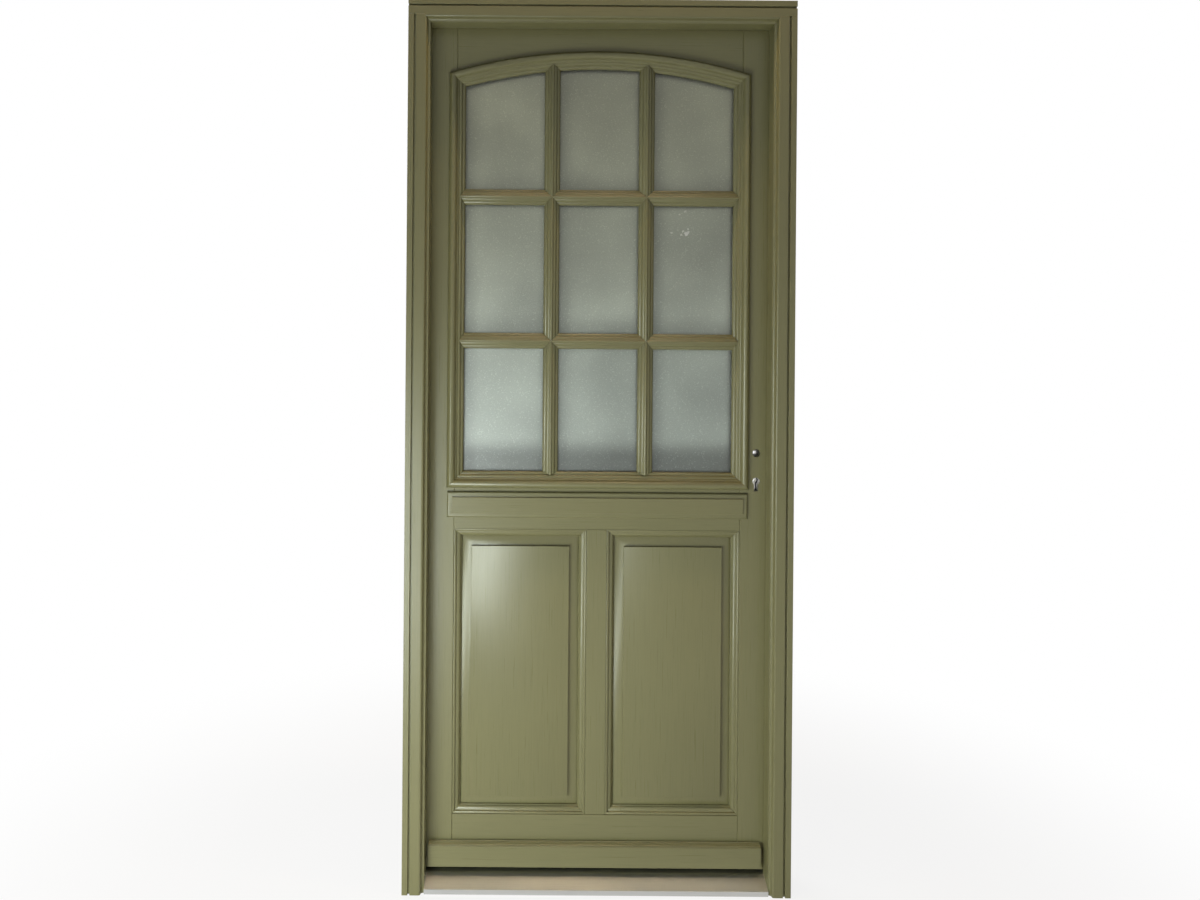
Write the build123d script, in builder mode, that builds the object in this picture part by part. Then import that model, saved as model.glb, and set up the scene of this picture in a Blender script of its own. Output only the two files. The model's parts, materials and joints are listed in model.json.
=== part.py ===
from build123d import *
import os
from math import asin, cos, degrees, radians, sin, sqrt

# A glazed and panelled front door in its wooden frame, in millimetres.
# X runs to the right seen from outside, Y runs into the house, Z runs up.
# The origin is the middle of the sill's underside, halfway through the frame's depth.
os.makedirs("parts", exist_ok=True)

# Frame: overall sizes and the section that its three members share
frame_w = 942
frame_h = 2172
frame_depth = 120
frame_face_w = 53
frame_mould_w = 13
frame_mould_h = 12
frame_flat_w = 21
frame_groove_w = 5
frame_groove_depth = 7
# across the moulding, forward over its height, bulge of the stretch that follows
frame_mould_shares = ((0, 0, 0.22), (0.6, 0.6, 0), (0.6, 0.72, -0.14), (1, 1, 0))

# Leaf in its rebate
leaf_thick = 56
leaf_gap = 3
lip_overlap = 12
seal_gap = 3
seal_clear = 0.3
seal_fit = 0.1
seal_inset = 5
seal_stem_w = 3
seal_stem_h = 6
seal_flange_w = 3

# Sill
sill_h = 30
sill_nose_h = 12
sill_setback = 6
sill_slope_w = 46
sill_clear = 6
sill_seal_w = 10
sill_stem_w = 5
sill_stem_h = 8

# Leaf joinery
stile_w = 75
bottom_rail_h = 132
lock_rail_h = 122
muntin_w = 50
arris = 1.2
tenon_len = 45
tenon_thick = 18
tenon_clear = 0.2
tenon_shoulder = 12
lock_tenon_h = 55
top_tenon_drop = 35
muntin_tenon_len = 25

# Raised panels and their planted mouldings
panel_edge_clear = 1
panel_tongue = 14
panel_mould_w = 19
panel_mould_fit = 0.2
panel_mould_set = 0.5
panel_bevel_w = 24
panel_bevel_h = 5
panel_step_h = 9
panel_bevel_foot = 3
panel_mould_shares = (
    (0, 0, 0),
    (0, 0.94, 0.16),
    (0.32, 0.92, 0),
    (0.34, 0.72, 0),
    (0.42, 0.72, 0.16),
    (0.88, 0.54, 0),
    (0.88, 0.42, 0),
    (1, 0.36, 0),
    (1, 0, 0),
)

# Glazing: three columns and three rows under a segmental arch
glass_inset = 14
glass_thick = 4
glass_cavity = 16
glass_edge_clear = 3
spacer_setback = 4
spacer_w = 8
bolection_w = 41
bolection_lap = 20
bolection_rise = 31
bolection_fit = 0.5
arch_rise = 45
crown_drop = 107
bar_w = 38.5
bar_rise = 21
inner_bar_rise = 15
bar_tip_share = 0.62
bar_foot_share = 0.4
bottom_pane_share = 0.3188
middle_pane_share = 0.3331
joint_gap = 0.15
# in from the edge over half the width, up over the rise, bulge of the stretch that follows
bar_shares = (
    (0, 0, 0),
    (0, 0.3, 0.17),
    (0.37, 0.5, 0),
    (0.4, 0.62, 0.17),
    (0.77, 0.8, 0),
    (0.8, 0.89, 0.12),
    (1, 1, 0),
)
inner_bar_shares = ((0, 0, 0), (0, 0.45, 0), (0.6, 1, 0), (1, 1, 0))
# out from the inner reeds over the rest of the width, up over the rest of the rise
bolection_shares = ((0, 0.1, 0), (0.2, 0.75, 0.14), (0.66, 0.85, 0.12), (1, -0.3, 0))
bead_shares = ((0, 0, 0), (0, 0.45, 0), (0.6, 1, 0))

# Table block planted on the lock rail
table_side_set = 2
table_gap = 9
table_h = 64
table_base_t = 9
table_field_t = 5
table_edge_w = 13
table_round = 6

# Weather bar at the foot of the leaf
weather_foot = 13
weather_h = 57
weather_proj = 24
weather_left_gap = 7
weather_right_gap = 10
weather_shares = (
    (0, 0, 0),
    (0.6, 0, 0),
    (0.6, 0.07, 0),
    (0.74, 0.07, 0),
    (0.74, 0, 0),
    (1, 0, 0),
    (1, 0.88, 0.25),
    (0.9, 0.91, 0),
    (0.88, 0.86, 0),
    (0.81, 0.86, 0),
    (0.8, 0.9, -0.1),
    (0.5, 0.95, 0),
    (0.5, 0.98, 0.25),
    (0.2, 1, 0),
    (0.18, 0.89, 0),
    (0, 0.89, 0),
)

# Lift-off hinges on the room side
hinge_h = 120
hinge_top_drop = 220
hinge_foot_rise = 220
hinge_barrel_r = 8
hinge_pin_r = 4.5
hinge_pin_fit = 0.05
hinge_stand = 1
hinge_knuckle_gap = 0.3
hinge_plate_t = 2.5
hinge_plate_w = 32
hinge_plate_fit = 0.1
hinge_pin_end = 6

# Mortise lock in the lock stile, empty of handle and cylinder
backset = 35
spindle_z = 1070
spindle_over = 71
lock_centres = 70
forend_w = 20
forend_t = 3
forend_over = 140
forend_h = 235
case_depth = 56
case_h = 160
case_under = 45
case_t = 16
case_wall = 1.5
case_fit = 0.5
stile_hole_r = 10
follower_r = 9.5
follower_fit = 0.1
follower_collar_r = 13
follower_play = 0.4
follower_square = 8
follower_arm_w = 5
follower_arm_r = 17
follower_turn = 40
cylinder_r = 9
cylinder_slot_w = 11
cylinder_drop = 25
latch_over = 24
latch_h = 20
latch_t = 10
latch_len = 54
latch_throw = 12
latch_bevel = 8
latch_notch_w = 9
latch_notch_h = 5
dead_under = 35
dead_h = 26
dead_t = 10
dead_len = 52
dead_throw = 20
bolt_set = 0.3
bolt_fit = 0.3
strike_t = 2.5
strike_w = 24
strike_over = 26
strike_fit = 1
strike_pocket_end = 3
cut_over = 5

# Places worked out from the sizes above
frame_front = -frame_depth / 2
frame_back = frame_depth / 2
frame_half = frame_w / 2
leaf_back = frame_back
leaf_front = leaf_back - leaf_thick
leaf_mid = leaf_back - leaf_thick / 2
lip_back = leaf_front - seal_gap
rebate_w = lip_overlap + leaf_gap
open_half = frame_half - frame_face_w
open_top = frame_h - frame_face_w
rebate_half = open_half + rebate_w
leaf_half = open_half + lip_overlap
leaf_top = open_top + lip_overlap
leaf_bottom = sill_h + sill_clear
stile_in = leaf_half - stile_w
panel_bottom = leaf_bottom + bottom_rail_h
glazing_bottom = spindle_z - spindle_over
panel_top = glazing_bottom - lock_rail_h
panel_open_h = panel_top - panel_bottom
panel_open_w = stile_in - muntin_w / 2
panel_centre_x = (stile_in + muntin_w / 2) / 2
panel_centre_z = (panel_bottom + panel_top) / 2

bolection_reach = bolection_w - bolection_lap
sight_half = stile_in - bolection_reach
sight_bottom = glazing_bottom + bolection_reach
arch_spring = leaf_top - crown_drop - arch_rise
sight_side_h = arch_spring - sight_bottom
sight_r = (sight_half**2 + arch_rise**2) / (2 * arch_rise)
arch_centre_z = arch_spring + arch_rise - sight_r
opening_r = sight_r + bolection_reach
glass_front = leaf_front + glass_inset
glass_back = glass_front + 2 * glass_thick + glass_cavity
bar_half = bar_w / 2
pane_w = (2 * sight_half - 2 * bar_w) / 3
upright_x = (pane_w + bar_w) / 2
lower_bar_z = sight_bottom + bottom_pane_share * sight_side_h + bar_half
upper_bar_z = lower_bar_z + bar_w + middle_pane_share * sight_side_h

hinge_x = -(leaf_half + leaf_gap / 2)
hinge_y = leaf_back + hinge_stand + hinge_barrel_r
hinge_low_z = leaf_bottom + hinge_foot_rise
hinge_high_z = leaf_top - hinge_top_drop
hinge_places = {
    "bottom": hinge_low_z,
    "middle": (hinge_low_z + hinge_high_z) / 2,
    "top": hinge_high_z,
}
lock_x = leaf_half - backset
cylinder_z = spindle_z - lock_centres
latch_z = spindle_z + latch_over
dead_z = spindle_z - dead_under
forend_x = leaf_half - forend_t
case_bottom = cylinder_z - case_under
bolt_nose_x = leaf_half - bolt_set
strike_bottom = dead_z - dead_h / 2 - strike_over
strike_top = latch_z + latch_h / 2 + strike_over
forend_bottom = spindle_z - forend_over


def arch_z(x, radius):
    """Height of an arc about the arch's centre, x from the middle of the door."""
    return arch_centre_z + sqrt(radius**2 - x**2)


def draw_section(corners, place):
    """Fills a closed section; a corner is across, rise and the bulge share of the stretch after it."""
    with BuildLine() as edge:
        for (a, b, bulge), (c, d, _) in zip(corners, corners[1:] + corners[:1]):
            if bulge:
                middle = place((a + c) / 2 - bulge * (d - b), (b + d) / 2 + bulge * (c - a))
                ThreePointArc(place(a, b), middle, place(c, d))
            else:
                Line(place(a, b), place(c, d))
    make_face(edge.edges())


def fill_outline(points):
    """Fills a straight-sided outline in the open sketch."""
    with BuildLine() as edge:
        Polyline(*points, close=True)
    make_face(edge.edges())


def cut_outline(points, mode):
    """Trims or cuts the open part by an outline seen from the front, right through."""
    with BuildSketch(Plane.XZ) as outline:
        fill_outline(points)
    extrude(outline.sketch, amount=frame_depth, both=True, mode=mode)


def cut_box(x_span, y_span, z_span):
    """Cuts a square-cornered pocket out of the open part."""
    x_low, x_high = x_span
    y_low, y_high = y_span
    with BuildSketch(Plane.XY.offset(z_span[0])) as floor:
        fill_outline([(x_low, y_low), (x_high, y_low), (x_high, y_high), (x_low, y_high)])
    extrude(floor.sketch, amount=z_span[1] - z_span[0], mode=Mode.SUBTRACT)


def keep(builder, name):
    """Names a finished piece and writes it."""
    builder.part.label = name
    export_step(builder.part, f"parts/{name}.step")


def gather(name, pieces):
    """Writes separate like pieces as one node."""
    with BuildPart() as group:
        add(pieces)
    keep(group, name)


# Frame members: a moulded facing, mitred at its inner edge, glued to the front of a square post
def facing_corners():
    """Section of the facing: out from the opening's edge, then depth."""
    groove_in = frame_mould_w + frame_flat_w
    groove_out = groove_in + frame_groove_w
    groove_floor = frame_front + frame_groove_depth
    stem_out = seal_inset + seal_stem_w
    stem_floor = lip_back - seal_stem_h
    moulding = [
        (across * frame_mould_w, frame_front + (1 - forward) * frame_mould_h, bulge)
        for across, forward, bulge in frame_mould_shares
    ]
    return [
        (0, lip_back, 0),
        *moulding,
        (groove_in, frame_front, 0),
        (groove_in, groove_floor, 0),
        (groove_out, groove_floor, 0),
        (groove_out, frame_front, 0),
        (frame_face_w, frame_front, 0),
        (frame_face_w, lip_back, 0),
        (stem_out, lip_back, 0),
        (stem_out, stem_floor, 0),
        (seal_inset, stem_floor, 0),
        (seal_inset, lip_back, 0),
    ]


def jamb_outline(side, foot):
    """A jamb's length seen from the front, mitred at its inner top corner."""
    return [
        (side * open_half, foot),
        (side * open_half, open_top),
        (side * rebate_half, open_top + rebate_w),
        (side * frame_half, open_top + rebate_w),
        (side * frame_half, foot),
    ]


def jamb_post(side):
    """One plain jamb post, before its pockets."""
    with BuildPart() as post:
        with BuildSketch(Plane.XY):
            fill_outline([
                (side * rebate_half, lip_back),
                (side * frame_half, lip_back),
                (side * frame_half, frame_back),
                (side * rebate_half, frame_back),
            ])
        extrude(amount=open_top + rebate_w)
    return post.part


for side, facing_name in ((-1, "hinge_jamb_facing"), (1, "lock_jamb_facing")):
    with BuildPart() as jamb_facing:
        with BuildSketch(Plane.XY):
            draw_section(facing_corners(), lambda u, v: (side * (open_half + u), v))
        extrude(amount=open_top + rebate_w)
        cut_outline(jamb_outline(side, 0), Mode.INTERSECT)
    keep(jamb_facing, facing_name)


def plate_seat(face_x, into):
    """Cuts the three hinge plates' seats into a jamb or a stile."""
    for z in hinge_places.values():
        x_span = tuple(sorted((face_x, face_x + into * (hinge_plate_t + hinge_plate_fit))))
        y_span = (leaf_back - hinge_plate_w - hinge_plate_fit, leaf_back + cut_over)
        half = hinge_h / 2 + hinge_plate_fit
        cut_box(x_span, y_span, (z - half, z + half))


plain_hinge_jamb = jamb_post(-1)
with BuildPart() as hinge_jamb:
    add(plain_hinge_jamb)
    plate_seat(-rebate_half, -1)
keep(hinge_jamb, "hinge_jamb")

# The lock jamb has a seat for the strike plate and one pocket behind each bolt
plain_lock_jamb = jamb_post(1)
with BuildPart() as lock_jamb:
    add(plain_lock_jamb)
    cut_box(
        (rebate_half, rebate_half + strike_t),
        (leaf_mid - strike_w / 2, leaf_mid + strike_w / 2),
        (strike_bottom, strike_top),
    )
    for bolt_z, bolt_h, bolt_t, throw in (
        (latch_z, latch_h, latch_t, latch_throw),
        (dead_z, dead_h, dead_t, dead_throw),
    ):
        cut_box(
            (rebate_half, bolt_nose_x + throw + strike_pocket_end),
            (leaf_mid - bolt_t / 2 - strike_fit, leaf_mid + bolt_t / 2 + strike_fit),
            (bolt_z - bolt_h / 2 - strike_fit, bolt_z + bolt_h / 2 + strike_fit),
        )
keep(lock_jamb, "lock_jamb")

with BuildPart() as frame_head:
    with BuildSketch(Plane.YZ.offset(-frame_half)):
        fill_outline([
            (lip_back, open_top + rebate_w),
            (frame_back, open_top + rebate_w),
            (frame_back, frame_h),
            (lip_back, frame_h),
        ])
    extrude(amount=frame_w)
keep(frame_head, "frame_head")

with BuildPart() as head_facing:
    with BuildSketch(Plane.YZ.offset(-frame_half)):
        draw_section(facing_corners(), lambda u, v: (v, open_top + u))
    extrude(amount=frame_w)
    for side in (-1, 1):
        corner = [
            (side * open_half, open_top),
            (side * rebate_half, open_top + rebate_w),
            (side * (frame_half + cut_over), open_top + rebate_w),
            (side * (frame_half + cut_over), open_top),
        ]
        cut_outline(corner, Mode.SUBTRACT)
keep(head_facing, "head_facing")


# Seals: a stem in the lip's groove and a soft rounded flange towards the leaf
def seal_corners():
    stem_in = seal_inset + seal_fit
    stem_out = seal_inset + seal_stem_w - seal_fit
    stem_floor = lip_back - seal_stem_h + seal_fit
    flange_in = seal_inset - seal_flange_w
    flange_out = seal_inset + seal_stem_w + seal_flange_w
    flange_face = leaf_front - seal_clear
    shoulder = (lip_back + flange_face) / 2
    return [
        (stem_in, lip_back, 0),
        (stem_in, stem_floor, 0),
        (stem_out, stem_floor, 0),
        (stem_out, lip_back, 0),
        (flange_out, lip_back, 0),
        (flange_out, shoulder, 0),
        (stem_out, flange_face, 0),
        (stem_in, flange_face, 0),
        (flange_in, shoulder, 0),
        (flange_in, lip_back, 0),
    ]


for side, seal_name in ((-1, "hinge_jamb_seal"), (1, "lock_jamb_seal")):
    with BuildPart() as jamb_seal:
        with BuildSketch(Plane.XY):
            draw_section(seal_corners(), lambda u, v: (side * (open_half + u), v))
        extrude(amount=open_top + rebate_w)
        cut_outline(jamb_outline(side, sill_h), Mode.INTERSECT)
    keep(jamb_seal, seal_name)

with BuildPart() as head_seal:
    with BuildSketch(Plane.YZ.offset(-rebate_half)):
        draw_section(seal_corners(), lambda u, v: (v, open_top + u))
    extrude(amount=2 * rebate_half)
    mitred_ends = [
        (-open_half, open_top),
        (open_half, open_top),
        (rebate_half, open_top + rebate_w),
        (-rebate_half, open_top + rebate_w),
    ]
    cut_outline(mitred_ends, Mode.INTERSECT)
keep(head_seal, "head_seal")

# Sill: a sloped nose outside, a level tread under the leaf, and a groove for its seal
sill_nose_y = frame_front + sill_setback
stem_half = sill_stem_w / 2
with BuildPart() as sill:
    with BuildSketch(Plane.YZ.offset(-rebate_half)):
        sill_points = [
            (sill_nose_y, 0),
            (sill_nose_y, sill_nose_h),
            (sill_nose_y + sill_slope_w, sill_h),
            (leaf_mid - stem_half, sill_h),
            (leaf_mid - stem_half, sill_h - sill_stem_h),
            (leaf_mid + stem_half, sill_h - sill_stem_h),
            (leaf_mid + stem_half, sill_h),
            (frame_back, sill_h),
            (frame_back, 0),
        ]
        fill_outline(sill_points)
    extrude(amount=2 * rebate_half)
    for side in (-1, 1):
        lip_x = tuple(sorted((side * open_half, side * (rebate_half + cut_over))))
        cut_box(lip_x, (frame_front, lip_back), (0, sill_h))
keep(sill, "sill")

with BuildPart() as sill_seal:
    with BuildSketch(Plane.YZ.offset(-leaf_half)):
        seal_half = sill_seal_w / 2
        fitted = stem_half - seal_fit
        sill_seal_points = [
            (leaf_mid - fitted, sill_h - sill_stem_h + seal_fit),
            (leaf_mid + fitted, sill_h - sill_stem_h + seal_fit),
            (leaf_mid + fitted, sill_h),
            (leaf_mid + seal_half, sill_h),
            (leaf_mid + fitted, leaf_bottom - seal_clear),
            (leaf_mid - fitted, leaf_bottom - seal_clear),
            (leaf_mid - seal_half, sill_h),
            (leaf_mid - fitted, sill_h),
        ]
        fill_outline(sill_seal_points)
    extrude(amount=2 * leaf_half)
keep(sill_seal, "sill_seal")

# Leaf joinery: stiles run full height, the rails are tenoned into them
top_joint_z = arch_z(stile_in, opening_r)
rail_tenons = {
    "bottom_rail": (leaf_bottom + tenon_shoulder, panel_bottom - tenon_shoulder),
    "lock_rail": (panel_top + tenon_shoulder, panel_top + tenon_shoulder + lock_tenon_h),
    "top_rail": (top_joint_z + tenon_shoulder, leaf_top - top_tenon_drop),
}


def stile_bar(side):
    """A stile with its mortises, before its hardware is let in."""
    x_in = side * stile_in
    with BuildPart() as bar:
        with BuildSketch(Plane.XY.offset(leaf_bottom)):
            section = [
                (x_in + side * arris, leaf_front),
                (side * leaf_half, leaf_front),
                (side * leaf_half, leaf_back),
                (x_in + side * arris, leaf_back),
                (x_in, leaf_back - arris),
                (x_in, leaf_front + arris),
            ]
            fill_outline(section)
        extrude(amount=leaf_top - leaf_bottom)
        reach = side * (stile_in + tenon_len + tenon_clear)
        half = tenon_thick / 2 + tenon_clear
        for low, high in rail_tenons.values():
            x_span = tuple(sorted((side * (stile_in - cut_over), reach)))
            cut_box(x_span, (leaf_mid - half, leaf_mid + half), (low - tenon_clear, high + tenon_clear))
    return bar.part


plain_hinge_stile = stile_bar(-1)
with BuildPart() as hinge_stile:
    add(plain_hinge_stile)
    plate_seat(-leaf_half, 1)
keep(hinge_stile, "hinge_stile")


def cylinder_outline():
    """The profile-cylinder hole: a round head over a straight slot."""
    with Locations((lock_x, cylinder_z)):
        Circle(cylinder_r)
        Rectangle(cylinder_slot_w, cylinder_drop, align=(Align.CENTER, Align.MAX))


plain_lock_stile = stile_bar(1)
case_half = case_t / 2
with BuildPart() as lock_stile:
    add(plain_lock_stile)
    cut_box(
        (forend_x - case_depth - case_fit, leaf_half),
        (leaf_mid - case_half - case_fit, leaf_mid + case_half + case_fit),
        (case_bottom - case_fit, case_bottom + case_h + case_fit),
    )
    cut_box(
        (forend_x, leaf_half),
        (leaf_mid - forend_w / 2, leaf_mid + forend_w / 2),
        (forend_bottom, forend_bottom + forend_h),
    )
    with BuildSketch(Plane.XZ):
        with Locations((lock_x, spindle_z)):
            Circle(stile_hole_r)
        cylinder_outline()
    extrude(amount=frame_depth, both=True, mode=Mode.SUBTRACT)
keep(lock_stile, "lock_stile")


def rail_tenon_blocks(name):
    """Adds the two end tenons of a rail."""
    low, high = rail_tenons[name]
    for side in (-1, 1):
        with BuildSketch(Plane.YZ.offset(side * stile_in)) as shoulder:
            with Locations((leaf_mid, (low + high) / 2)):
                Rectangle(tenon_thick, high - low)
        extrude(shoulder.sketch, amount=side * tenon_len)


def ease_shoulders(faces_y):
    """Breaks the edges that show as joint lines at a rail's shoulders."""
    chamfer(faces_y, length=arris)


for name, low, high in (
    ("bottom_rail", leaf_bottom, panel_bottom),
    ("lock_rail", panel_top, glazing_bottom),
):
    with BuildPart() as rail:
        with BuildSketch(Plane.YZ.offset(-stile_in)):
            with Locations((leaf_mid, (low + high) / 2)):
                Rectangle(leaf_thick, high - low)
        extrude(amount=2 * stile_in)
        shoulders = rail.edges().filter_by(Axis.Z)
        ease_shoulders(shoulders)
        rail_tenon_blocks(name)
        mortise_depth = muntin_tenon_len + tenon_clear
        mortise_z = (high - mortise_depth, high) if name == "bottom_rail" else (low, low + mortise_depth)
        mortise_x = muntin_w / 2 - tenon_shoulder + tenon_clear
        mortise_y = tenon_thick / 2 + tenon_clear
        cut_box((-mortise_x, mortise_x), (leaf_mid - mortise_y, leaf_mid + mortise_y), mortise_z)
    keep(rail, name)

with BuildPart() as top_rail:
    with BuildSketch(Plane.XZ.offset(-leaf_front)):
        with BuildLine():
            ThreePointArc((-stile_in, top_joint_z), (0, arch_z(0, opening_r)), (stile_in, top_joint_z))
            Polyline((stile_in, top_joint_z), (stile_in, leaf_top), (-stile_in, leaf_top), (-stile_in, top_joint_z))
        make_face()
    extrude(amount=-leaf_thick)
    ease_shoulders(top_rail.edges().filter_by(Axis.Z))
    rail_tenon_blocks("top_rail")
keep(top_rail, "top_rail")

with BuildPart() as muntin:
    with BuildSketch(Plane.XZ.offset(-leaf_front)):
        with Locations((0, panel_centre_z)):
            Rectangle(muntin_w, panel_open_h)
    extrude(amount=-leaf_thick)
    ease_shoulders(muntin.edges().filter_by(Axis.X))
    for end, plane_z in ((-1, panel_bottom), (1, panel_top)):
        with BuildSketch(Plane.XY.offset(plane_z)):
            with Locations((0, leaf_mid)):
                Rectangle(muntin_w - 2 * tenon_shoulder, tenon_thick)
        extrude(amount=end * muntin_tenon_len)
keep(muntin, "muntin")


# Raised and fielded panels, the same on both faces
def panel_rectangle(centre_x, y, inset):
    """A rectangle inside the panel's opening, on a plane parallel to the leaf."""
    with BuildSketch(Plane.XZ.offset(-y)) as drawn:
        with Locations((centre_x, panel_centre_z)):
            Rectangle(panel_open_w - 2 * inset, panel_open_h - 2 * inset)
    return drawn.sketch


for side, panel_name in ((-1, "left_panel"), (1, "right_panel")):
    centre_x = side * panel_centre_x
    foot_inset = panel_mould_w + 2 * panel_mould_fit
    field_inset = panel_mould_w + panel_bevel_w
    with BuildPart() as panel:
        extrude(panel_rectangle(centre_x, leaf_mid, panel_edge_clear), amount=panel_tongue / 2, both=True)
        for face in (-1, 1):
            foot_y = leaf_mid + face * panel_tongue / 2
            bevel_y = foot_y + face * panel_bevel_foot
            top_y = bevel_y + face * panel_bevel_h
            foot = panel_rectangle(centre_x, foot_y, foot_inset)
            extrude(foot, amount=-face * panel_bevel_foot)
            bevel_base = panel_rectangle(centre_x, bevel_y, foot_inset)
            field = panel_rectangle(centre_x, top_y, field_inset)
            loft([bevel_base, field])
            extrude(field, amount=-face * panel_step_h)
    keep(panel, panel_name)

# Planted mouldings: four mitred lengths round each panel, on each face
panel_mould_h = (leaf_thick - panel_tongue) / 2 - panel_mould_set


def panel_lengths(centre_x, face):
    """The four lengths round one panel on the outside, face -1, or the inside, face 1."""
    corners = [(a * panel_mould_w, r * panel_mould_h, bulge) for a, r, bulge in panel_mould_shares]
    foot_y = leaf_mid + face * panel_tongue / 2
    half_w = panel_open_w / 2 - panel_mould_fit
    half_h = panel_open_h / 2 - panel_mould_fit
    lengths = []
    for way in (-1, 1):
        tall = [(way * half_w, -half_h), (way * half_w, half_h)]
        tall += [(way * (half_w - panel_mould_w), end * (half_h - panel_mould_w)) for end in (1, -1)]
        with BuildPart() as upright:
            with BuildSketch(Plane.XY.offset(panel_bottom)):
                draw_section(corners, lambda u, r: (centre_x + way * (half_w - u), foot_y + face * r))
            extrude(amount=panel_open_h)
            outline = [(centre_x + x, panel_centre_z + z - (joint_gap if z > 0 else -joint_gap)) for x, z in tall]
            cut_outline(outline, Mode.INTERSECT)
        lengths.append(upright.part)
        wide = [(-half_w, way * half_h), (half_w, way * half_h)]
        wide += [(end * (half_w - panel_mould_w), way * (half_h - panel_mould_w)) for end in (1, -1)]
        with BuildPart() as level:
            with BuildSketch(Plane.YZ.offset(centre_x - half_w)):
                draw_section(corners, lambda u, r: (foot_y + face * r, panel_centre_z + way * (half_h - u)))
            extrude(amount=2 * half_w)
            cut_outline([(centre_x + x, panel_centre_z + z) for x, z in wide], Mode.INTERSECT)
        lengths.append(level.part)
    return lengths


for side, side_name in ((-1, "left"), (1, "right")):
    for face, face_name in ((-1, "outer"), (1, "inner")):
        gather(f"{side_name}_panel_{face_name}_moulding", panel_lengths(side * panel_centre_x, face))


# Double glazing under the arch
def pane_outline(inset):
    """The glazed unit's outline, drawn in from its edge."""
    half = stile_in - glass_edge_clear - inset
    foot = glazing_bottom + glass_edge_clear + inset
    radius = opening_r - glass_edge_clear - inset
    shoulder = arch_z(half, radius)
    with BuildLine() as edge:
        ThreePointArc((-half, shoulder), (0, arch_z(0, radius)), (half, shoulder))
        Polyline((half, shoulder), (half, foot), (-half, foot), (-half, shoulder))
    make_face(edge.edges())


for pane_name, pane_y in (("outer_pane", glass_front), ("inner_pane", glass_back - glass_thick)):
    with BuildPart() as pane:
        with BuildSketch(Plane.XZ.offset(-pane_y)):
            pane_outline(0)
        extrude(amount=-glass_thick)
    keep(pane, pane_name)

with BuildPart() as spacer:
    with BuildSketch(Plane.XZ.offset(-(glass_front + glass_thick))):
        pane_outline(spacer_setback)
    extrude(amount=-glass_cavity)
    with BuildSketch(Plane.XZ.offset(-(glass_front + glass_thick))):
        pane_outline(spacer_setback + spacer_w)
    extrude(amount=-glass_cavity, mode=Mode.SUBTRACT)
keep(spacer, "spacer")


# Ring of four lengths round the glass: outside the bolection, inside the glazing beads
def ring_corner(out, side):
    """A top corner of the glazed ring, out from the sight line."""
    x = sight_half + out
    return (side * x, arch_z(x, sight_r + out))


def ring_outlines(width):
    """Seen from the front: the four mitred lengths of a ring that is width across."""
    low_in = (sight_half, sight_bottom)
    low_out = (sight_half + width, sight_bottom - width)
    outlines = {"bottom": [(-low_in[0], low_in[1]), low_in, low_out, (-low_out[0], low_out[1])]}
    for side, side_name in ((-1, "left"), (1, "right")):
        outlines[side_name] = [
            (side * low_in[0], low_in[1]),
            ring_corner(0, side),
            ring_corner(width, side),
            (side * low_out[0], low_out[1]),
        ]
    crown_z = arch_z(0, sight_r + width) + cut_over
    crown = [(side * (sight_half + width), crown_z) for side in (1, -1)]
    outlines["arch"] = [
        ring_corner(0, -1),
        ring_corner(0, 1),
        ring_corner(width, 1),
        *crown,
        ring_corner(width, -1),
    ]
    return outlines


def ring_length(corners, to_y, place_name, outline, notches):
    """One length of a ring, from its section, trimmed to its outline and notched for the bars."""
    with BuildPart() as length:
        if place_name == "arch":
            half_angle = 2 * asin(sight_half / sight_r)
            start = Plane(
                (0, 0, arch_centre_z), x_dir=(0, 1, 0), z_dir=(cos(half_angle), 0, sin(half_angle))
            )
            with BuildSketch(start):
                draw_section(corners, lambda u, r: (to_y(r), sight_r + u))
            revolve(axis=Axis((0, 0, arch_centre_z), (0, 1, 0)), revolution_arc=degrees(2 * half_angle))
        elif place_name == "bottom":
            with BuildSketch(Plane.YZ.offset(-stile_in - stile_w)):
                draw_section(corners, lambda u, r: (to_y(r), sight_bottom - u))
            extrude(amount=2 * (stile_in + stile_w))
        else:
            side = -1 if place_name == "left" else 1
            with BuildSketch(Plane.XY.offset(panel_top)):
                draw_section(corners, lambda u, r: (side * (sight_half + u), to_y(r)))
            extrude(amount=leaf_top - panel_top)
        cut_outline(outline, Mode.INTERSECT)
        for notch in notches:
            cut_outline(notch, Mode.SUBTRACT)
    return length.part


# Where the bars end: each end is a point that is let into the ring
def side_point(z, side):
    """Corners and point of a cross bar's end at a side of the glass."""
    return [
        (side * sight_half, z - bar_half),
        (side * (sight_half + bar_tip_share * bar_half), z),
        (side * sight_half, z + bar_half),
    ]


def foot_point(x):
    """Corners and point of an upright's foot."""
    tip = (x, sight_bottom - bar_foot_share * bar_half)
    return [(x - bar_half, sight_bottom), tip, (x + bar_half, sight_bottom)]


def arch_point(x):
    """Corners and point of an upright's top, under the arch."""
    left = x - bar_half
    right = x + bar_half
    return [
        (left, arch_z(left, sight_r)),
        (x, arch_z(x, sight_r + bar_tip_share * bar_half)),
        (right, arch_z(right, sight_r)),
    ]


def notch_from(point, inward):
    """A notch for a bar's end, drawn back past the sight line so that it cuts clean."""
    first, tip, last = point
    dx, dz = inward
    return [first, tip, last, (last[0] + dx, last[1] + dz), (first[0] + dx, first[1] + dz)]


bar_rows = (lower_bar_z, upper_bar_z)
bar_columns = (-upright_x, upright_x)
ring_notches = {
    "left": [notch_from(side_point(z, -1), (cut_over, 0)) for z in bar_rows],
    "right": [notch_from(side_point(z, 1), (-cut_over, 0)) for z in bar_rows],
    "bottom": [notch_from(foot_point(x), (0, cut_over)) for x in bar_columns],
    "arch": [notch_from(arch_point(x), (0, -cut_over)) for x in bar_columns],
}

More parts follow.
